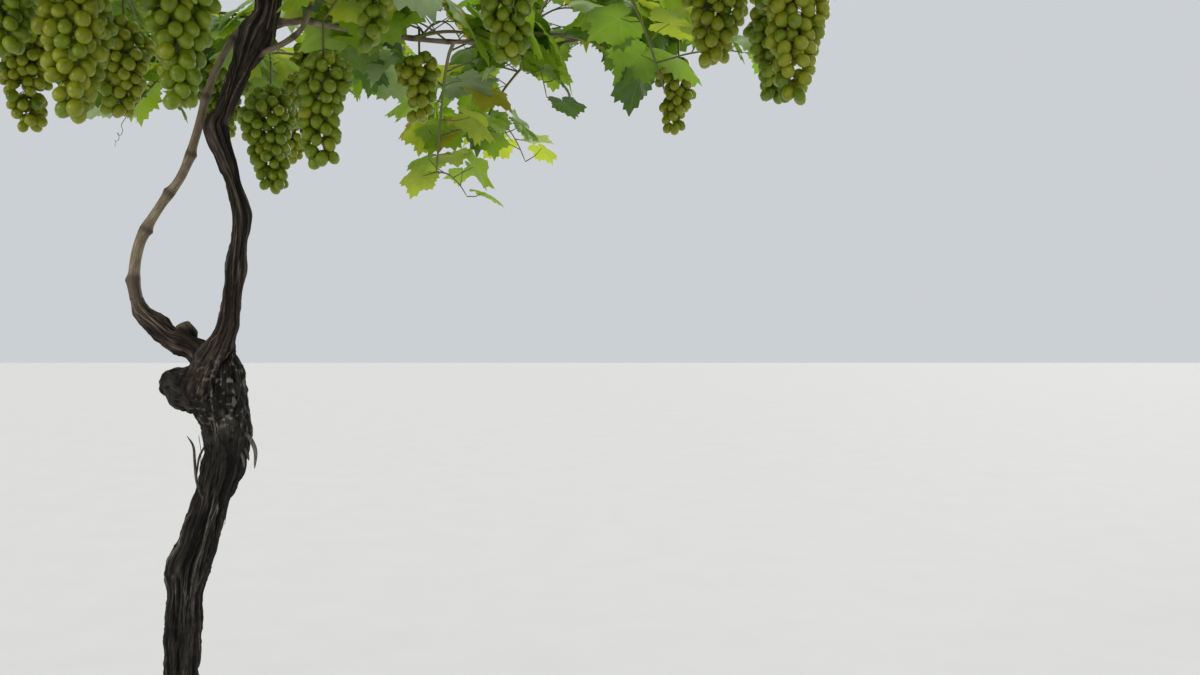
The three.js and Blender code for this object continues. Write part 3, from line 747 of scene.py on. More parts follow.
def paleness_and_painted_light(places):
    """How pale the bark is: dark nearly everywhere, weathered pale round a few places, lightened with painted
    light and darkened with painted shade round others.
    """
    pale = PALE_BASE + PALE_WANDER * noise(places / 70, PALE_SEED)
    for place in PALE_AND_PAINTED_LIGHT_PLACES:
        pale += place[4] * np.exp(-((places - place[:3]) ** 2).sum(axis=1) / place[3] ** 2)
    return np.minimum(pale, PALE_LIMIT)


def bark_relief(angles, arcs, closing, places, style, seed):
    """Height over the bare skin in millimetres, painted shade that darkens it the further down a fissure it
    lies, and how far up on a crest.
    """
    height, cavity, crest = strand_relief(angles, arcs, closing, style, seed)
    knots, knot_painted_shade, knot_crest = knot_relief(places, seed)
    head = np.exp(-(((places[:, 2] - HEAD_HEIGHT) / HEAD_SPAN) ** 4))
    plain = 1 - HEAD_SMOOTHING * head
    lumps = noise(places / 34, seed + 3) + 0.5 * noise(places / 15, seed + 4)
    height = plain * height + head * knots + style["lump"] * lumps - style["sink"]
    cavity = plain * cavity + 0.7 * head * knot_painted_shade
    # Crests weathered pale, with painted light and painted shade round a few places
    crest = (plain * crest + 0.8 * head * knot_crest) * paleness_and_painted_light(places)
    return height, clipped(cavity), clipped(crest)


def meeting(places, neighbours):
    """How far the skin swells where another limb meets it, and how much painted shade darkens the join
    between them.
    """
    push, painted_crease_shade = np.zeros(len(places)), np.zeros(len(places))
    for neighbour in neighbours:
        gap = Obstacles(neighbour.rods()).distance(places)
        near = clipped(1 - np.abs(gap) / FILLET)
        push = np.maximum(push, near**2 * FILLET / 4)
        painted_crease_shade = np.maximum(painted_crease_shade, bell(gap, CREASE_WIDTH))
    return push, painted_crease_shade


def line_distance(points, corners):
    return Obstacles([(start, end, 0.0, None) for start, end in zip(corners, corners[1:])]).distance(points)


def domed_rings(limb, step, first_share, dome_rings, dome_rise):
    """Rings along a limb and over its rounded end, each with how open it is."""
    line = limb.line
    start_arc = np.interp(first_share, line.shares, line.arcs)
    arcs = np.linspace(start_arc, line.length, int((line.length - start_arc) / step) + 1)
    shares = np.interp(arcs, line.arcs, line.shares)
    places, alongs, acrosses, others = carried_frames(line, shares)
    turns = np.linspace(0, math.pi / 2, dome_rings + 2)[1:-1]
    rise = np.sin(turns) * max(limb.tip_rise, dome_rise)
    return {
        "shares": np.append(shares, np.ones(dome_rings)),
        "arcs": np.append(arcs, arcs[-1] + rise),
        "closing": np.append(np.ones(len(arcs)), np.cos(turns)),
        "places": np.concatenate([places, places[-1] + rise[:, None] * alongs[-1]]),
        "acrosses": np.concatenate([acrosses, np.repeat(acrosses[-1:], dome_rings, axis=0)]),
        "others": np.concatenate([others, np.repeat(others[-1:], dome_rings, axis=0)]),
    }


def faded_relief(skin, angles, ring, left, limb, style, seed, neighbours):
    """The relief, calmer towards the tip, with fillets and painted shade where the limb's neighbours meet it,
    and the crack of the head.
    """
    closing = ring["closing"]
    height, cavity, strand = bark_relief(angles, ring["arcs"], closing, skin, style, seed)
    height *= 0.35 + 0.65 * closing
    height *= 0.15 + 0.85 * left
    strand = clipped(strand + 0.5 * (1 - left))
    cavity *= 0.35 + 0.65 * left
    push, painted_crease_shade = meeting(skin, neighbours)
    height += push
    # Painted shade where a neighbour meets the limb
    cavity = clipped(cavity + CREASE_SHADE * painted_crease_shade)
    if limb.flare:
        groove = bell(line_distance(skin, HEAD_CRACK), CRACK_WIDTH)
        height -= CRACK_DEPTH * groove
        # Painted shade in the head's crack, on top of the cut groove
        cavity = clipped(cavity + groove)
    return height, cavity, strand


def bark_piece(
    bundle, limb, style_name, neighbours, seed, around, step,
    first_share=0.0, dome_rings=7, dome_rise=4, tip_fade=0,
):
    """The limb's skin with its relief, its fillets, and a rounded end."""
    style = STYLES[style_name]
    rings = domed_rings(limb, step, first_share, dome_rings, dome_rise)
    count = len(rings["arcs"])
    ring = {name: np.repeat(values, around, axis=0) for name, values in rings.items()}
    angles = ring_angles(count, around)
    out = standing_out(angles, ring["acrosses"], ring["others"])
    left = clipped((limb.line.length - ring["arcs"]) / tip_fade) if tip_fade else np.ones(len(angles))
    bare = limb.skin(ring["shares"], angles) * ring["closing"] * (1 - TIP_TAPER * (1 - left) ** 2)
    skin = ring["places"] + bare[:, None] * out
    height, cavity, strand = faded_relief(skin, angles, ring, left, limb, style, seed, neighbours)
    skin = skin + height[:, None] * out
    corners = np.concatenate([skin, [skin[:around].mean(axis=0), skin[-around:].mean(axis=0)]])
    if limb.flare:
        corners[:around, 2] = 0
        corners[:, 2] = np.maximum(corners[:, 2], 0)
        corners[len(skin), 2] = 0
    grain = wrapped(angles, style["girth"] * ring["closing"], ring["arcs"])
    bundle.add(
        corners,
        tube_faces(count, around),
        cavity=np.append(cavity, [0.3, 0.3]),
        strand=np.append(strand, [0.5, 0.5]),
        grain=np.concatenate([grain, grain[:1], grain[-1:]]),
    )


def node_arcs(length, gaps, seed):
    """Places of the nodes along a cane, unevenly spaced."""
    draw = Draw(seed)
    arcs = [draw.between(gaps) * 0.5]
    while arcs[-1] < length - gaps[0]:
        arcs.append(arcs[-1] + draw.between(gaps))
    return np.array(arcs)


def cane_skin(bundle, line, radius_at, seed, sides, step, gaps=(72, 118), root_shade=0.0):
    """A cane with swollen nodes, a bud beside each, and faint lengthwise ridges."""
    rings = max(4, int(line.length / step) + 1)
    arc_shares = np.linspace(0, 1, rings)
    shares = line.share_of(arc_shares)
    nodes = node_arcs(line.length, gaps, seed * 31 + 7)
    arcs = np.repeat(arc_shares * line.length, sides)
    nearest = np.argmin(np.abs(arcs[:, None] - nodes), axis=1)
    offset = arcs - nodes[nearest]
    swelling = bell(offset, np.where(offset < 0, NODE_BELOW, NODE_ABOVE))
    scar = bell(offset, SCAR_WIDTH)
    angles = ring_angles(rings, sides)
    bud = clipped(np.cos(angles - (math.pi * nearest + seed))) ** 3
    swell = 1 + swelling * (0.14 + 0.26 * bud * scar + 0.14 * bud)
    ridge = noise(wrapped(angles, STREAK_GIRTH, arcs / 60) / 2.2, seed)
    radii = radius_at(np.repeat(shares, sides)) * swell * (1 + 0.06 * ridge)
    # Darker at the nodes and scars, the cane's own colour, and painted shade near the root
    cavity = clipped(0.5 * swelling + 0.5 * scar + root_shade * bell(arcs, ROOT_FADE))
    grain = wrapped(angles, STREAK_GIRTH, arcs)
    tube(
        bundle,
        carried_frames(line, shares),
        radii.reshape(rings, sides),
        cavity=np.append(cavity, [0.6, 0.6]),
        strand=np.append(0.5 + 0.5 * ridge, [0.5, 0.5]),
        grain=np.concatenate([grain, grain[:1], grain[-1:]]),
    )


# Peeling strips of bark

def flat_strip(bundle, middle, out, side, width, tone):
    """A thin ribbon of bark along a row of places, pointed at its free end."""
    share = np.linspace(0, 1, len(middle))
    half = width / 2 * np.clip(1 - (1.7 * share - 0.7) ** 2, 0.02, 1) ** 0.5
    left, right = middle - half[:, None] * side, middle + half[:, None] * side
    rows = np.stack([left, middle + 0.7 * out, right, middle - 0.4 * out], axis=1).reshape(-1, 3)
    corners = np.concatenate([rows, [rows[:4].mean(axis=0), rows[-4:].mean(axis=0)]])
    bundle.add(
        corners,
        tube_faces(len(middle), 4)[:, ::-1],
        cavity=np.full(len(corners), 0.15),
        strand=np.full(len(corners), 0.2 + 0.5 * tone),
        grain=corners + np.array([0, 40 * tone, 0]),
    )


def bark_strips(bundle, limb, style_name, count, seed, low, high, lengths, widths, lifts):
    """Narrow strips that lie along the bark and curl off it at one end."""
    draw = Draw(seed)
    gap = STRIP_GAP - STYLES[style_name]["sink"]
    share = np.linspace(0, 1, STRIP_RINGS)
    for _ in range(count):
        length, width = draw.between(lengths), draw.between(widths)
        start = low + (high - low) * draw()
        angle = 2 * math.pi * draw()
        lift = draw.between(lifts)
        turn, wave = 0.35 * draw.signed(), 0.12 * draw.signed()
        up_or_down = 1 if draw() < 0.4 else -1
        if up_or_down < 0:
            start = max(start, low + length)
        arcs = np.clip(start + up_or_down * share * length, 1, limb.line.length - 1)
        shares = np.interp(arcs, limb.line.arcs, limb.line.shares)
        places, alongs, acrosses, others = carried_frames(limb.line, shares)
        angles = angle + turn * share + wave * np.sin(7 * share)
        out = standing_out(angles, acrosses, others)
        reach = limb.skin(shares, angles) + gap - STRIP_ROOT * (1 - share) ** 3
        reach += lift * share**3 + 0.1 * lift * np.sin(9 * share)
        flat_strip(bundle, places + reach[:, None] * out, out, np.cross(alongs, out), width, draw())


def loose_fibre(bundle, width, tone, points):
    """One long loose fibre between given places."""
    places, _, acrosses, others = carried_frames(Line(points), np.linspace(0, 1, FIBRE_RINGS))
    flat_strip(bundle, places, others, acrosses, width, tone)


# Leaves

# Outline of a blade: reach at each angle from its middle vein, with lobes and without
LEAF_ANGLES = np.arange(-180, 180, 7.5)
LEAF_REACH = np.array([
    (0, 1.0), (12, 0.85), (24, 0.66), (32, 0.62), (44, 0.78), (58, 0.87), (72, 0.72), (86, 0.53),
    (98, 0.55), (114, 0.66), (130, 0.58), (148, 0.50), (162, 0.44), (172, 0.27), (180, 0.10),
])
PLAIN_REACH = np.array([(0, 0.92), (60, 0.8), (120, 0.62), (165, 0.42), (180, 0.10)])
LEAF_VEINS = [0, 60, -60, 114, -114]
LEAF_RINGS = [0.36, 0.7, 1]
VEIN_FADE = [1, 0.9, 0.6]
LEAF_BREADTH = 1.06
TOOTH = 0.055
LEAF_FORMS = 12
LEAF_TONES = [0.25, 0.31, 0.2, 0.12, 0.1, 0.02]
TONE_KEPT = 0.7

# Finer growth than the solids have
NODE_SPACING = 46
FIRST_NODE = 22
BARE_TIP = 20
LATERAL_SHARE = 0.85
LATERAL_LENGTH = [130, 250]
LATERAL_SPREAD = [35, 85]
LATERAL_CLIMB = [5, 50]
LATERAL_SAG = [0.2, 0.7]
LATERAL_NODE_SPACING = 38
LATERAL_ROOM = 4
LATERAL_OVERLAP = 20
PETIOLE_LENGTH = [46, 92]
BLADE_LENGTH = [82, 114]
BLADE_ROOM = 34
BLADE_CLEARANCE = 3
BLADE_TRIES = 10
BLADE_TRIES_ONE_SIDE = 4
BLADE_TURN = [-35, 80]
BLADE_OVERLAP = 55
BLADE_TILT = 0.55
BOX_OVERLAP = 70
LEAF_TIP_ROOM = 18
TENDRIL_SHARE = 0.35
TENDRIL_STEPS = 12


def leaf_outline(draw):
    """The toothed rim of a five-lobed blade of unit length."""
    lobed = 0.75 + 0.5 * draw()
    sizes = np.abs(LEAF_ANGLES)
    reach, mean = np.interp(sizes, *LEAF_REACH.T), np.interp(sizes, *PLAIN_REACH.T)
    reach = mean + (reach - mean) * lobed
    teeth = np.where(np.arange(len(LEAF_ANGLES)) % 2 == 0, TOOTH, -TOOTH)
    reach = reach * (1 + teeth * (1 + 0.5 * np.array([draw.signed() for _ in LEAF_ANGLES])))
    angles = np.radians(LEAF_ANGLES)
    reach *= 1 + 0.05 * np.sin(angles * 2 + 6 * draw())
    return np.stack([np.cos(angles) * reach, np.sin(angles) * reach * LEAF_BREADTH], axis=1)


def leaf_form(seed):
    """One folded, drooping blade round its stalk's end: corners, faces and vein values."""
    draw = Draw(seed)
    rim = leaf_outline(draw)
    places = np.concatenate([np.zeros((1, 2)), *[size * rim for size in LEAF_RINGS]])
    span = np.linalg.norm(places, axis=1)
    turn = np.arctan2(places[:, 1], places[:, 0])
    fold, droop = 0.05 + 0.3 * draw(), 0.1 + 0.34 * draw()
    ripple, phase = 0.03 + 0.05 * draw(), 6.28 * draw()
    height = fold * np.abs(places[:, 1]) * (1 - 0.35 * span) - droop * span**2
    height += 0.045 * span * np.cos(6 * turn) + ripple * span**2 * np.sin(5 * turn + phase)
    height += 0.02 * np.array([draw.signed() for _ in places]) * span
    sides = len(rim)
    vein = np.zeros(len(places))
    vein[0] = 1
    for place in LEAF_VEINS:
        near = 1 + int(np.argmin(np.abs(LEAF_ANGLES - place)))
        vein[[near, near + sides, near + 2 * sides]] = VEIN_FADE
    faces = np.concatenate([fan_faces(0, 1, sides), grid_faces(len(LEAF_RINGS), sides)[:, ::-1] + 1])
    return np.column_stack([places, height]), faces, vein


def leaf_samples():
    """Points of a plain blade that are tested before a leaf is placed."""
    angles = np.radians([0, 30, 60, 90, 120, 150, -30, -60, -90, -120, -150])
    outer = np.stack([np.cos(angles) * 0.92, np.sin(angles) * 0.85, -0.2 + 0 * angles], axis=1)
    outer[:, :2] *= np.interp(np.abs(angles), [0, 1.1, 2.1, 2.7], [1.08, 0.98, 0.78, 0.6])[:, None]
    return np.concatenate([outer, outer[::2] * 0.5, [[0, 0, 0]]])


SAMPLES = leaf_samples()


def leaf_axes(along, draw):
    normal = np.array([BLADE_TILT * draw.signed(), BLADE_TILT * draw.signed(), 1.0])
    normal = unit(normal - normal.dot(along) * along)
    return np.stack([along, np.cross(normal, along), normal])


def leaf_box(mass):
    """Leaves may stand a little out of their mass's box, but not out of the whole vine's."""
    box = np.array(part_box(mass["name"])) / MM + np.array([[-BOX_OVERLAP], [BOX_OVERLAP]])
    whole = np.array([list(corner) for corner in CAD_BOX]) / MM
    low, high = whole[0] + LEAF_TIP_ROOM, whole[1] - LEAF_TIP_ROOM
    return np.stack([np.maximum(box[0], low), np.minimum(box[1], high)])


def tendril_line(node, heading, draw):
    """A tendril reaches out and closes into a loose coil."""
    out = unit(heading + np.array([draw.signed(), draw.signed(), 0.3 * draw.signed()]))
    side = unit(np.cross(out, UP))
    points = [node, node + out * 28, node + out * 55 - UP * 6]
    reach, turns = draw.between([7, 12]), draw.between([1.3, 2.6])
    for step in range(TENDRIL_STEPS):
        share = step / (TENDRIL_STEPS - 1)
        angle = 2 * math.pi * turns * share
        size = reach * (1 - 0.55 * share)
        centre = node + out * (62 + 2.5 * step) - UP * (10 + 2 * step)
        points.append(centre + side * size * math.sin(angle) + UP * size * (math.cos(angle) - 1))
    return Line(points)


class Growth:
    """Laterals, leaves and tendrils on the skeleton of a mass."""

    def __init__(self, mass, skeleton, obstacles, placed):
        self.draw = Draw(mass["seed"] + 500)
        self.space, self.box = Space(mass), leaf_box(mass)
        self.obstacles, self.placed = obstacles, placed
        self.sprays, self.laterals, self.tendrils = [], [], []
        for line in skeleton["shoots"] + [skeleton["stem"]]:
            self.grow_along(line)

    def fits(self, points, margin, room):
        in_box = (points >= self.box[0]).all() and (points <= self.box[1]).all()
        return in_box and self.space.holds(points, margin) and self.obstacles.clear(points, room)

    def crowded(self, hub):
        gaps = ((np.array(self.placed).reshape(-1, 3) - hub) ** 2).sum(axis=1)
        return bool((gaps < BLADE_ROOM**2).any())

    def leaf(self, node, heading, side, size):
        """A stalk and a blade beside a node, as a list, or an empty list where no turn of it fits."""
        draw = self.draw
        level = unit(np.array([heading[0], heading[1], 1e-6]))
        sideways = np.cross(UP, level)
        for attempt in range(BLADE_TRIES):
            turn = math.radians(draw.between(BLADE_TURN))
            out = sideways * (side if attempt < BLADE_TRIES_ONE_SIDE else -side) * math.cos(turn)
            out = out + level * math.sin(turn)
            stalk = unit(out + UP * draw.between([-0.1, 0.9]))
            hub = node + stalk * draw.between(PETIOLE_LENGTH) * (0.6 + 0.4 * size / BLADE_LENGTH[1])
            along = unit(out + 0.5 * sideways * draw.signed() - UP * draw.between([0.05, 1.15]))
            axes = leaf_axes(along, draw)
            blade = hub + SAMPLES @ axes * size
            if self.crowded(hub) or not self.fits(blade, -BLADE_OVERLAP, BLADE_CLEARANCE):
                continue
            self.placed.append(hub)
            bend = node + (hub - node) * 0.5 + UP * 6 * draw.signed()
            return [{"hub": hub, "axes": axes, "size": size, "stalk": [node, bend, hub]}]
        return []

    def lateral(self, node, heading, side):
        """A short side shoot with smaller leaves of its own, as far as its last leaf."""
        draw = self.draw
        azimuth = azimuth_of(heading) + side * draw.between(LATERAL_SPREAD)
        length = draw.between(LATERAL_LENGTH)
        climb = math.radians(draw.between(LATERAL_CLIMB))
        line = Line(shoot_points(node, azimuth, climb, draw.between(LATERAL_SAG), length))
        if not self.fits(line.points[1:], -LATERAL_OVERLAP, LATERAL_ROOM):
            return []
        leaves, reach = [], 0
        for index in range(1, int(length / LATERAL_NODE_SPACING) + 1):
            share = min(index * LATERAL_NODE_SPACING / line.length, 1)
            size = draw.between(BLADE_LENGTH) * (0.86 - 0.3 * share)
            leaf = self.leaf(line.point_at(share), line.tangent_at(share), 1 if index % 2 else -1, size)
            if leaf:
                leaves += leaf
                reach = share
        if leaves:
            self.laterals.append((line, reach))
        return leaves

    def tendril(self, node, heading):
        line = tendril_line(node, heading, self.draw)
        if self.fits(line.points[2:], 4, 3):
            self.tendrils.append(line)

    def grow_along(self, line):
        leaves = []
        for index in range(int((line.length - BARE_TIP) / NODE_SPACING) + 1):
            share = min((FIRST_NODE + index * NODE_SPACING) / line.length, 1)
            node, heading = line.point_at(share), line.tangent_at(share)
            size = self.draw.between(BLADE_LENGTH) * (1 - 0.35 * share**2)
            side = 1 if index % 2 else -1
            leaves += self.leaf(node, heading, side, size)
            if self.draw() < LATERAL_SHARE:
                self.sprays.append(self.lateral(node, heading, -side))
            elif self.draw() < TENDRIL_SHARE:
                self.tendril(node, heading)
        self.sprays.append(leaves)


def dealt(draw, shares):
    """The number of the share that a draw falls in."""
    mark, total = draw() * sum(shares), 0
    for number, share in enumerate(shares):
        total += share
        if mark <= total:
            return number
    return len(shares) - 1


def leaf_piece(mass, sprays, forms, materials):
    bundle = Bundle()
    draw = Draw(mass["seed"] + 900)
    for spray in filter(None, sprays):
        tone = dealt(draw, LEAF_TONES)
        for leaf in spray:
            form, faces, vein = forms[int(draw() * LEAF_FORMS) % LEAF_FORMS]
            own = tone if draw() < TONE_KEPT else dealt(draw, LEAF_TONES)
            bundle.add(leaf["hub"] + form @ leaf["axes"] * leaf["size"], faces, own, vein=vein)
    bundle.piece(mass["name"] + "_leaves", materials, replaced=[mass["name"]])


# Grapes

CONE_PROFILE = np.array([0.55, 1, 0.92, 0.7, 0.4])
LONG_PROFILE = np.array([0.7, 0.98, 0.82, 0.74, 0.58])
BERRY_LENGTH = 26.5
BERRY_WIDTH = 22
BERRY_ROOM = 18.5
BERRY_DRAWS = 3000
BERRY_TONES = [0.5, 0.3, 0.2]
BERRY_TONE_KEPT = 0.75
STALK_SHARE = 0.5
TIP_ANGLES = [0, 1.257, 2.513, 3.770, 5.027]
TIP_RADIUS = 1.1


def round_form():
    """Corners and faces of a unit ball with eighty faces."""
    shaper = bmesh.new()
    bmesh.ops.create_icosphere(shaper, subdivisions=2, radius=1.0)
    corners = np.array([corner.co[:] for corner in shaper.verts])
    faces = np.array([[corner.index for corner in face.verts] for face in shaper.faces])
    shaper.free()
    return corners, faces


class Outline:
    """The reach of a bunch at a height and a side: shoulders, a wing, and an uneven taper."""

    def __init__(self, cluster, draw):
        long_share = draw()
        self.profile = LONG_PROFILE * long_share + CONE_PROFILE * (1 - long_share)
        self.wing_side, self.wing = 6.28 * draw(), draw.between([0.1, 0.32])
        self.phases = [6.28 * draw() for _ in range(3)]
        self.half_width = cluster["width"] / 2

    def reach(self, share, angle):
        wave = 0.1 * math.sin(angle + 6 * share + self.phases[0])
        wave += 0.08 * math.sin(2 * angle - 7 * share + self.phases[1])
        wave += 0.06 * math.sin(3 * angle + 15 * share + self.phases[2])
        shoulder = bell(share - 0.2, 0.17) * max(math.cos(angle - self.wing_side), 0)
        size = np.interp(share, np.linspace(0, 1, len(self.profile)), self.profile)
        return self.half_width * size * (0.88 + wave + self.wing * shoulder)


def berry_places(cluster, draw):
    """Middles of the berries: an even shell just inside the bunch's outline, and a few behind it."""
    outline = Outline(cluster, draw)
    lean = np.array([draw.signed(), draw.signed()]) * 0.06
    places = np.full((0, 3), 0.0)
    for _ in range(BERRY_DRAWS):
        share = draw()
        angle = 2 * math.pi * draw()
        inward = draw() ** 3
        reach = max(outline.reach(share, angle) - BERRY_WIDTH * 0.42, 3) * (1 - 0.5 * inward)
        drop = cluster["length"] * (0.02 + 0.93 * share)
        place = cluster["top"] - UP * drop
        place[:2] += lean * drop + reach * np.array([math.cos(angle), math.sin(angle)])
        gaps = ((places - place) ** 2).sum(axis=1)
        if not len(gaps) or gaps.min() > BERRY_ROOM**2:
            places = np.concatenate([places, place[None]])
    return places


def grow_bunch(cluster, berries, stalks, tips, ball, ball_faces):
    draw = Draw(cluster["seed"] * 7 + 3)
    places = berry_places(cluster, draw)
    top, bottom = cluster["top"], cluster["bottom"]
    spine = Line([cluster["hang"], top, top * 0.45 + bottom * 0.55, bottom + UP * 26])
    twig(stalks, spine, 2.6, 1.2, sides=5, step=14)
    tone = dealt(draw, BERRY_TONES)
    for place in places:
        on_spine = np.array([top[0], top[1], min(place[2] + 16, top[2] + 4)])
        outward = unit(place - on_spine)
        along = unit(outward - 0.55 * UP + 0.25 * np.array([draw.signed(), draw.signed(), draw.signed()]))
        size = 0.88 + 0.2 * draw()
        across = unit(np.cross(along, np.array([0.3, 0.8, 0.5])))
        axes = np.stack([across, np.cross(along, across), along])
        half = np.array([BERRY_WIDTH, BERRY_WIDTH, BERRY_LENGTH]) / 2 * size
        own = tone if draw() < BERRY_TONE_KEPT else dealt(draw, BERRY_TONES)
        berries.add(place + (ball * half) @ axes, ball_faces, own)
        if draw() < STALK_SHARE:
            stem_end = place - along * half[2] * 0.9
            stalk = Line([on_spine, (on_spine + stem_end) / 2 + UP * 2, stem_end])
            twig(stalks, stalk, 1.0, 1.3, sides=3, step=40)
        mark = place + along * (half[2] + 0.25)
        rim = [math.cos(angle) * across + math.sin(angle) * axes[1] for angle in TIP_ANGLES]
        ring = [mark - along * 0.9 + TIP_RADIUS * side for side in rim]
        tips.add(np.array([mark, *ring]), fan_faces(0, 1, len(TIP_ANGLES)))


# Materials

class Shader:
    """A material under construction, with short calls for the nodes that it needs."""

    def __init__(self, name):
        self.material = bpy.data.materials.new(name)
        self.material.use_nodes = True
        self.tree = self.material.node_tree
        self.principled = self.tree.nodes["Principled BSDF"]
        self.output = self.tree.nodes["Material Output"]

    def node(self, kind, inputs=None, **settings):
        """A new node. inputs gives a constant or a socket for the names or numbers of its inputs."""
        made = self.tree.nodes.new(kind)
        for name, value in settings.items():
            setattr(made, name, value)
        for name, value in (inputs or {}).items():
            self.feed(made.inputs[name], value)
        return made

    def feed(self, socket, value):
        if isinstance(value, bpy.types.NodeSocket):
            self.tree.links.new(value, socket)
        else:
            socket.default_value = value

    def value(self, name):
        return self.node("ShaderNodeAttribute", attribute_name=name).outputs["Fac"]

    def scaled(self, source, scale):
        return self.node("ShaderNodeMapping", {"Vector": source, "Scale": scale}).outputs["Vector"]

    def vector(self, name, scale):
        return self.scaled(self.node("ShaderNodeAttribute", attribute_name=name).outputs["Vector"], scale)

    def places(self, scale=(1, 1, 1)):
        return self.scaled(self.node("ShaderNodeTexCoord").outputs["Object"], scale)

    def noise(self, vector, scale, detail, roughness, distortion=0.0):
        inputs = {"Vector": vector, "Scale": scale, "Detail": detail, "Roughness": roughness}
        return self.node("ShaderNodeTexNoise", {**inputs, "Distortion": distortion}).outputs["Fac"]

    def mottle(self, scale, detail, roughness):
        """Noise over the object's own places."""
        return self.noise(self.places(), scale, detail, roughness)

    def ramp(self, factor, stops):
        made = self.node("ShaderNodeValToRGB", {"Fac": factor})
        band = made.color_ramp
        while len(band.elements) < len(stops):
            band.elements.new(0.5)
        for element, (place, colour) in zip(band.elements, stops):
            element.position = place
            element.color = (*colour, 1)
        return made.outputs["Color"]

    def mix(self, factor, first, second, blend="MIX"):
        made = self.node("ShaderNodeMix", data_type="RGBA", blend_type=blend)
        self.feed(made.inputs["Factor"], factor)
        self.feed(made.inputs[6], first)
        self.feed(made.inputs[7], second)
        return made.outputs[2]

    def math(self, operation, first, second):
        return self.node("ShaderNodeMath", {0: first, 1: second}, operation=operation).outputs[0]

    def weighed(self, first, weight, second, other_weight):
        """The sum of two values, each with a weight."""
        products = [self.math("MULTIPLY", first, weight), self.math("MULTIPLY", second, other_weight)]
        return self.math("ADD", *products)

    def span(self, value, low, high, to_low, to_high):
        limits = {"From Min": low, "From Max": high, "To Min": to_low, "To Max": to_high}
        return self.node("ShaderNodeMapRange", {"Value": value, **limits}).outputs["Result"]

    def bump(self, height, strength, distance):
        inputs = {"Height": height, "Strength": strength, "Distance": distance}
        normal = self.node("ShaderNodeBump", inputs).outputs["Normal"]
        self.feed(self.principled.inputs["Normal"], normal)
        return normal

    def surface(self, **inputs):
        for name, value in inputs.items():
            self.feed(self.principled.inputs[name.replace("_", " ")], value)
        return self.material

    def glow(self, share, inputs):
        """Lets a share of the light through in the given colour."""
        through = self.node("ShaderNodeBsdfTranslucent", inputs).outputs["BSDF"]
        shaders = {0: share, 1: self.principled.outputs["BSDF"], 2: through}
        self.feed(self.output.inputs["Surface"], self.node("ShaderNodeMixShader", shaders).outputs["Shader"])


def bark_material(name, deep, dark, mid, light, weathered):
    """Fissures darkened to near-black with painted shade, brown strands and grey weathered ridges."""
    shader = Shader(name)
    fibres = shader.noise(shader.vector("grain", (0.42, 0.42, 0.028)), 1.6, 5, 0.62, 0.3)
    patches = shader.noise(shader.places((1, 1, 0.6)), 16, 3, 0.6)
    strand = shader.value("strand")
    level = shader.weighed(strand, 0.62, fibres, 0.45)
    wood = shader.ramp(level, [(0.22, dark), (0.45, mid), (0.72, light)])
    worn = shader.mix(0.45, wood, (*weathered, 1))
    raised = shader.span(strand, 0.0, 0.35, 0.25, 1.0)
    grey = shader.mix(shader.math("MULTIPLY", shader.span(patches, 0.48, 0.72, 0.0, 0.6), raised), wood, worn)
    streaked = shader.mix(1.0, grey, shader.span(fibres, 0.34, 0.66, 0.5, 1.5), "MULTIPLY")
    # Painted shade: the colour darkens towards near-black in fissures, cracks and where limbs meet
    colour = shader.mix(shader.span(shader.value("cavity"), 0.12, 0.75, 0.0, 0.94), streaked, (*deep, 1))
    shader.bump(fibres, 0.55, 0.0016)
    roughness = shader.span(fibres, 0.3, 0.8, 0.96, 0.78)
    return shader.surface(Base_Color=colour, Roughness=roughness, Specular_IOR_Level=0.25)


def cane_material(name, dark, mid, light, node_and_shade_colour):
    """Smooth tan bark with fine lengthwise streaks, darker nodes, and painted shade at the root."""
    shader = Shader(name)
    streaks = shader.noise(shader.vector("grain", (0.55, 0.55, 0.03)), 1.4, 4, 0.6)
    level = shader.weighed(streaks, 0.75, shader.mottle(38, 3, 0.6), 0.35)
    wood = shader.ramp(level, [(0.32, dark), (0.54, mid), (0.76, light)])
    # Darker nodes, and painted shade at the root
    colour = shader.mix(shader.span(shader.value("cavity"), 0.25, 0.95, 0.0, 0.8), wood, (*node_and_shade_colour, 1))
    shader.bump(streaks, 0.35, 0.0006)
    return shader.surface(Base_Color=colour, Roughness=0.62, Specular_IOR_Level=0.35)


def green_twig_material(name, green, tan):
    """Young shoots and stalks, green with tan and reddish stretches."""
    shader = Shader(name)
    fine = shader.mottle(160, 2, 0.5)
    level = shader.weighed(shader.mottle(11, 3, 0.6), 0.8, fine, 0.2)
    shader.bump(fine, 0.2, 0.0004)
    return shader.surface(Base_Color=shader.ramp(level, [(0.38, green), (0.62, tan)]), Roughness=0.5)


def leaf_material(name, shade, tint, glow, roughness):
    """A blade that is glossy in front of the light and glows yellow-green against it."""
    shader = Shader(name)
    fine = shader.mottle(260, 2, 0.6)
    level = shader.weighed(shader.mottle(24, 3, 0.55), 0.8, fine, 0.25)
    blade = shader.ramp(level, [(0.34, shade), (0.68, tint)])
    vein = shader.math("POWER", shader.value("vein"), 3.0)
    pale = tuple(0.6 * part + 0.4 * light for part, light in zip(tint, (0.42, 0.48, 0.16)))
    colour = shader.mix(shader.math("MULTIPLY", vein, 0.55), blade, (*pale, 1))
    normal = shader.bump(shader.math("SUBTRACT", fine, vein), 0.3, 0.0012)
    shader.glow(0.48, {"Color": shader.mix(0.62, colour, (*glow, 1)), "Normal": normal})
    return shader.surface(Base_Color=colour, Roughness=roughness, Specular_IOR_Level=0.45)


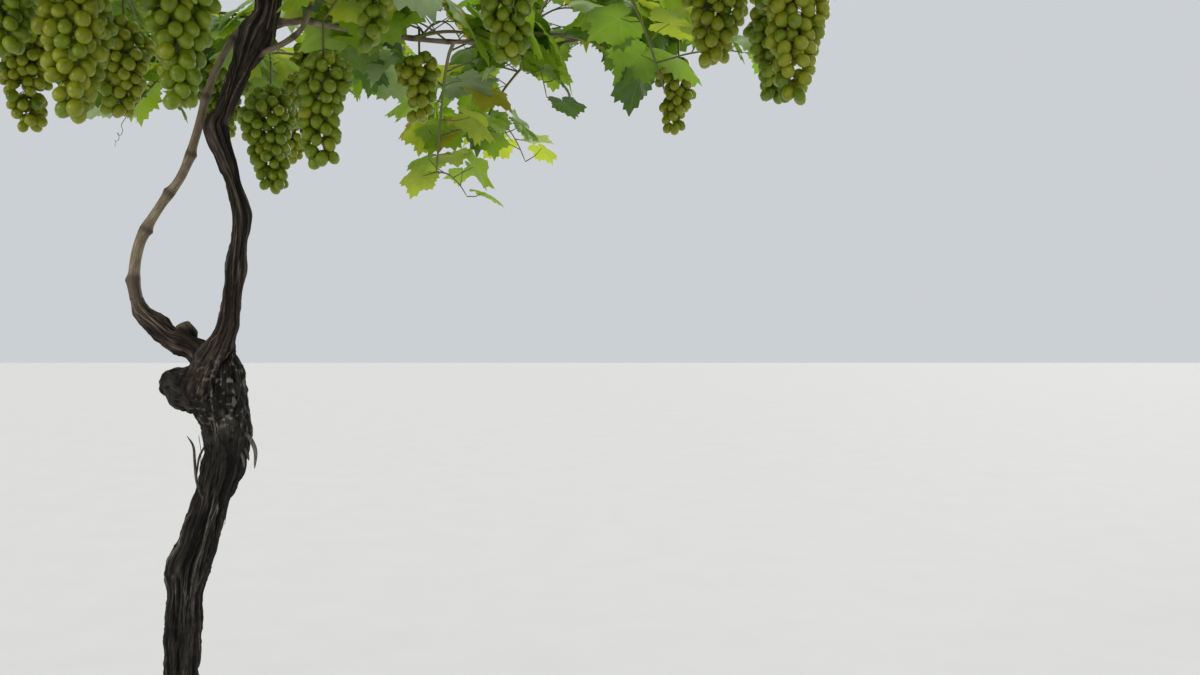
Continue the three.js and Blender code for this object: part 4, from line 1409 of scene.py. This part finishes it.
def berry_material(name, shade, tint, glow):
    """Translucent flesh under a skin with a faint cloudy bloom."""
    shader = Shader(name)
    cloud = shader.mottle(85, 4, 0.62)
    flesh = shader.ramp(cloud, [(0.36, shade), (0.66, tint)])
    skin = shader.mix(shader.span(cloud, 0.5, 0.8, 0.0, 0.2), flesh, (0.36, 0.42, 0.1, 1))
    freckle = shader.span(shader.mottle(620, 2, 0.5), 0.7, 0.8, 0.0, 0.35)
    shader.glow(0.12, {"Color": (*glow, 1)})
    return shader.surface(
        Base_Color=shader.mix(freckle, skin, (0.1, 0.08, 0.02, 1)),
        Roughness=shader.span(cloud, 0.35, 0.75, 0.26, 0.5),
        Subsurface_Weight=0.55,
        Subsurface_Radius=(0.012, 0.013, 0.004),
        Subsurface_Scale=0.7,
        Specular_IOR_Level=0.36,
        Coat_Weight=0.06,
        Coat_Roughness=0.25,
    )


def plain_floor_material():
    shader = Shader("floor_pale")
    colour = shader.ramp(shader.mottle(3, 3, 0.5), [(0.3, (0.575, 0.57, 0.555)), (0.7, (0.59, 0.585, 0.57))])
    return shader.surface(Base_Color=colour, Roughness=0.9)


# Stage

CAMERA_PLACE = (0.764, -2.036, 1.4)
CAMERA_PITCH = 1.23
CAMERA_FOCUS = 1140
IMAGE_WIDTH = 1200
SENSOR_WIDTH = 36
FLOOR_HALF = 30.0
SKY_COLOUR = (0.86, 0.9, 0.94, 1)
SKY_STRENGTH = 0.7


def set_camera():
    data = bpy.data.cameras.new("photo_view")
    data.sensor_fit = "HORIZONTAL"
    data.sensor_width = SENSOR_WIDTH
    data.lens = SENSOR_WIDTH * CAMERA_FOCUS / IMAGE_WIDTH
    data.clip_start = 0.05
    made = bpy.data.objects.new("photo_view", data)
    made.location = CAMERA_PLACE
    made.rotation_euler = (math.radians(90 - CAMERA_PITCH), 0, 0)
    bpy.context.scene.collection.objects.link(made)
    bpy.context.scene.camera = made


def soft_light(name, place, aim, spread, strength, colour):
    """A wide even light from one side of the sky."""
    data = bpy.data.lights.new(name, "SUN")
    data.angle = math.radians(spread)
    data.energy = strength
    data.color = colour
    made = bpy.data.objects.new(name, data)
    made.location = place
    towards = np.array(aim, float) - np.array(place, float)
    tip = math.atan2(math.hypot(towards[0], towards[1]), -towards[2])
    made.rotation_euler = (tip, 0, math.atan2(towards[1], towards[0]) - math.pi / 2)
    bpy.context.scene.collection.objects.link(made)


def set_sky():
    world = bpy.data.worlds.new("pale_sky")
    world.use_nodes = True
    background = world.node_tree.nodes["Background"]
    background.inputs["Color"].default_value = SKY_COLOUR
    background.inputs["Strength"].default_value = SKY_STRENGTH
    bpy.context.scene.world = world
    bpy.context.scene.view_settings.view_transform = "Standard"


def set_floor():
    mesh = bpy.data.meshes.new("floor")
    corners = [(FLOOR_HALF * x, FLOOR_HALF * y, 0) for x, y in [(-1, -1), (1, -1), (1, 1), (-1, 1)]]
    mesh.from_pydata(corners, [], [(0, 1, 2, 3)])
    mesh.materials.append(plain_floor_material())
    floor = bpy.data.objects.new("floor", mesh)
    bpy.context.scene.collection.objects.link(floor)


def set_stage():
    soft_light("overhead", (0.6, 1.4, 5.2), (0.0, 0.0, 1.8), 50, 1.5, (1.0, 0.99, 0.96))
    soft_light("front_left", (-4.0, -3.4, 2.8), (0.1, 0.0, 1.2), 25, 1.1, (1.0, 0.98, 0.95))
    soft_light("behind", (2.6, 4.5, 3.0), (0.1, 0.0, 1.7), 30, 0.8, (1.0, 1.0, 0.97))
    set_sky()
    set_floor()


# Making

trunk = Limb("trunk", TRUNK, rib_depth=RIB_DEPTH, tip_rise=8, flare=True)
knob = Limb("low_knob", LOW_KNOB, rib_depth=RIB_DEPTH, tip_rise=12)
stub = Limb("upper_stub", UPPER_STUB, rib_depth=RIB_DEPTH)
spur = Limb("spur", SPUR, rib_depth=RIB_DEPTH)
arm = Limb("arm", ARM, rib_depth=RIB_DEPTH, tip_rise=7)
left_cane = Limb("left_cane", LEFT_CANE)
side_shoot = Limb("side_shoot", SIDE_SHOOT)
fork_canes = {m["name"]: fork_cane(m) for m in MASSES if m["azimuth"] is not None and "via" not in m}
limbs = [trunk, knob, stub, arm, left_cane, side_shoot, *fork_canes.values()]
limb_rods = [rod for limb in limbs for rod in limb.rods()]


def make_trunk(bark):
    """The trunk from the ground up, its peeling strips, and the old arm's low stub beside the head."""
    body = Bundle()
    ground = {"first_share": 1 / (len(TRUNK) - 1)}
    dome = {"dome_rings": 9, "dome_rise": 30}
    bark_piece(body, trunk, "trunk", [knob, stub, arm], seed=11, around=168, step=3.0, **ground, **dome)
    strips = {"lengths": [50, 150], "widths": [3, 6], "lifts": [0.5, 4.5]}
    bark_strips(body, trunk, "trunk", count=34, seed=71, low=60, high=1240, **strips)
    for fibre in LOOSE_FIBRES:
        loose_fibre(body, *fibre)
    body.piece("trunk_bark", [bark], "old_bark", ["trunk"])
    lump = Bundle()
    bark_piece(lump, knob, "knob", [trunk, arm], seed=23, around=120, step=2.4, dome_rings=11)
    lump.piece("low_knob_bark", [bark], "old_bark", ["low_knob"])


def make_arms(bark):
    """The upper stub with its spur, and the arm that climbs to the fork."""
    old_arm = Bundle()
    near_stub = [trunk, arm, knob]
    bark_piece(old_arm, stub, "stub", near_stub, seed=37, around=92, step=2.6, dome_rings=5, tip_fade=70)
    bark_piece(old_arm, spur, "stub", [stub], seed=41, around=48, step=2.4, dome_rings=5, tip_fade=30)
    old_arm.piece("upper_stub_bark", [bark], "arm_bark", ["upper_stub"])
    climbing = Bundle()
    bark_piece(climbing, arm, "arm", [trunk, knob, stub], seed=53, around=90, step=3.0)
    strips = {"lengths": [40, 120], "widths": [2, 4], "lifts": [0.5, 3]}
    bark_strips(climbing, arm, "arm", count=22, seed=93, low=80, high=780, **strips)
    climbing.piece("arm_bark", [bark], "arm_bark", ["arm_lower", "arm_upper"])


def make_old_wood():
    make_trunk(bark_material(
        "old_bark",
        deep=(0.004, 0.0032, 0.0026),
        dark=(0.0115, 0.0092, 0.0073),
        mid=(0.04, 0.0335, 0.0265),
        light=(0.205, 0.188, 0.158),
        weathered=(0.215, 0.205, 0.18),
    ))
    make_arms(bark_material(
        "arm_bark",
        deep=(0.006, 0.0042, 0.003),
        dark=(0.018, 0.0125, 0.0088),
        mid=(0.06, 0.041, 0.029),
        light=(0.17, 0.132, 0.103),
        weathered=(0.19, 0.172, 0.148),
    ))


def stem_radius(shares):
    return STEM_ROOT_RADIUS + (STEM_TIP_RADIUS - CANE_TIP_RADIUS) * shares


def make_canes(skeletons):
    tan = cane_material(
        "cane_bark",
        dark=(0.1, 0.068, 0.046),
        mid=(0.21, 0.155, 0.1),
        light=(0.42, 0.36, 0.24),
        node_and_shade_colour=(0.06, 0.038, 0.027),
    )
    bundle = Bundle()
    cane_skin(bundle, left_cane.line, left_cane.radius, seed=3, sides=18, step=3.5, root_shade=0.9)
    bundle.piece("left_cane_bark", [tan], "cane_bark", ["left_cane_lower", "left_cane_upper"])
    shoot = Bundle()
    cane_skin(shoot, side_shoot.line, side_shoot.radius, seed=5, sides=12, step=3.0, gaps=(48, 74))
    shoot.piece("side_shoot_bark", [tan], "cane_bark", ["side_shoot"])
    for cane in fork_canes.values():
        wood = Bundle()
        cane_skin(wood, cane.line, cane.radius, seed=7, sides=16, step=4)
        wood.piece(cane.name + "_bark", [tan], "cane_bark", [cane.name])
    stems = Bundle()
    for skeleton in skeletons:
        cane_skin(stems, skeleton["stem"], stem_radius, seed=9, sides=10, step=6)
    stems.piece("crown_stems", [tan])


def make_green_wood(skeletons, growths):
    young = green_twig_material("green_shoot", (0.11, 0.15, 0.028), (0.19, 0.12, 0.05))
    stalk = green_twig_material("leaf_stalk", (0.16, 0.21, 0.035), (0.24, 0.13, 0.055))
    shoots, stalks = Bundle(), Bundle()
    for skeleton, growth in zip(skeletons, growths):
        for line in skeleton["shoots"]:
            twig(shoots, line, 4.0, 2.0, sides=7, step=12)
        for line, reach in growth.laterals:
            twig(shoots, line, 2.3, 1.2, sides=5, step=14, reach=reach)
        for leaf in [leaf for spray in growth.sprays for leaf in spray]:
            twig(stalks, Line(leaf["stalk"]), 1.5, 1.2, sides=3, step=26)
        for line in growth.tendrils:
            twig(stalks, line, 1.0, 0.5, sides=4, step=4)
    shoots.piece("green_shoots", [young])
    stalks.piece("leaf_stalks", [stalk])


def make_leaves(growths):
    tones = [
        leaf_material("leaf_bright", (0.16, 0.27, 0.018), (0.27, 0.42, 0.038), (0.6, 0.85, 0.035), 0.42),
        leaf_material("leaf_middle", (0.09, 0.18, 0.015), (0.17, 0.29, 0.027), (0.43, 0.68, 0.027), 0.38),
        leaf_material("leaf_dark", (0.03, 0.08, 0.009), (0.065, 0.135, 0.018), (0.19, 0.36, 0.018), 0.34),
        leaf_material("leaf_lime", (0.27, 0.35, 0.022), (0.42, 0.51, 0.052), (0.8, 0.92, 0.045), 0.45),
        # Pale blue-grey blades: partly spray residue, partly a painted reflection of the sky on waxy leaves
        leaf_material("leaf_grey", (0.17, 0.24, 0.13), (0.38, 0.45, 0.34), (0.46, 0.64, 0.17), 0.3),
        leaf_material("leaf_yellow", (0.34, 0.3, 0.028), (0.48, 0.42, 0.06), (0.78, 0.69, 0.05), 0.5),
    ]
    forms = [leaf_form(seed) for seed in range(600, 600 + 17 * LEAF_FORMS, 17)]
    for mass, growth in zip(MASSES, growths):
        leaf_piece(mass, growth.sprays, forms, tones)


def make_grapes(skeletons):
    tones = [
        berry_material("grape_green", (0.155, 0.215, 0.006), (0.25, 0.325, 0.011), (0.44, 0.56, 0.012)),
        berry_material("grape_gold", (0.22, 0.25, 0.007), (0.34, 0.365, 0.014), (0.55, 0.56, 0.016)),
        berry_material("grape_shade", (0.11, 0.17, 0.005), (0.18, 0.255, 0.009), (0.32, 0.46, 0.011)),
    ]
    brown = green_twig_material("grape_tip", (0.04, 0.028, 0.012), (0.07, 0.048, 0.02))
    stalk = green_twig_material("grape_stalk", (0.13, 0.18, 0.03), (0.17, 0.13, 0.045))
    stalks, tips, halves = Bundle(), Bundle(), [Bundle(), Bundle()]
    ball = round_form()
    clusters = [cluster for skeleton in skeletons for cluster in skeleton["clusters"]]
    for number, cluster in enumerate(clusters):
        grow_bunch(cluster, halves[number % 2], stalks, tips, *ball)
    halves[0].piece("grapes_one", tones)
    halves[1].piece("grapes_two", tones)
    stalks.piece("grape_stalks", [stalk])
    tips.piece("grape_tips", [brown])


def grow_skeletons():
    bunch_rods = [rod_of_bunch(bunch, mass["name"]) for mass in MASSES for bunch in mass["bunches"]]
    obstacles = Obstacles(limb_rods + bunch_rods)
    skeletons = []
    for mass in MASSES:
        if mass["azimuth"] is None:
            carrier, rise = arm, arm.tip_rise
        else:
            carrier, rise = fork_canes.get(mass["name"], left_cane), 0
        heading = carrier.line.tangent(1.0)[0]
        start = carrier.line.at(1.0)[0] + heading * rise
        skeletons.append(grow_skeleton(mass, start, heading, obstacles))
    return skeletons


def grow_leaves(skeletons):
    clusters = [cluster for skeleton in skeletons for cluster in skeleton["clusters"]]
    hung = [(c["top"], c["bottom"], CLUSTER_GIRTH * c["width"], None) for c in clusters]
    gaps = [(np.array(start), np.array(end), radius, None) for start, end, radius in OPENINGS]
    obstacles, placed = Obstacles(limb_rods + hung + gaps), []
    return [Growth(mass, skeleton, obstacles, placed) for mass, skeleton in zip(MASSES, skeletons)]


set_camera()
set_stage()
make_old_wood()
crown_skeletons = grow_skeletons()
crown_growths = grow_leaves(crown_skeletons)
make_canes(crown_skeletons)
make_green_wood(crown_skeletons, crown_growths)
make_leaves(crown_growths)
make_grapes(crown_skeletons)
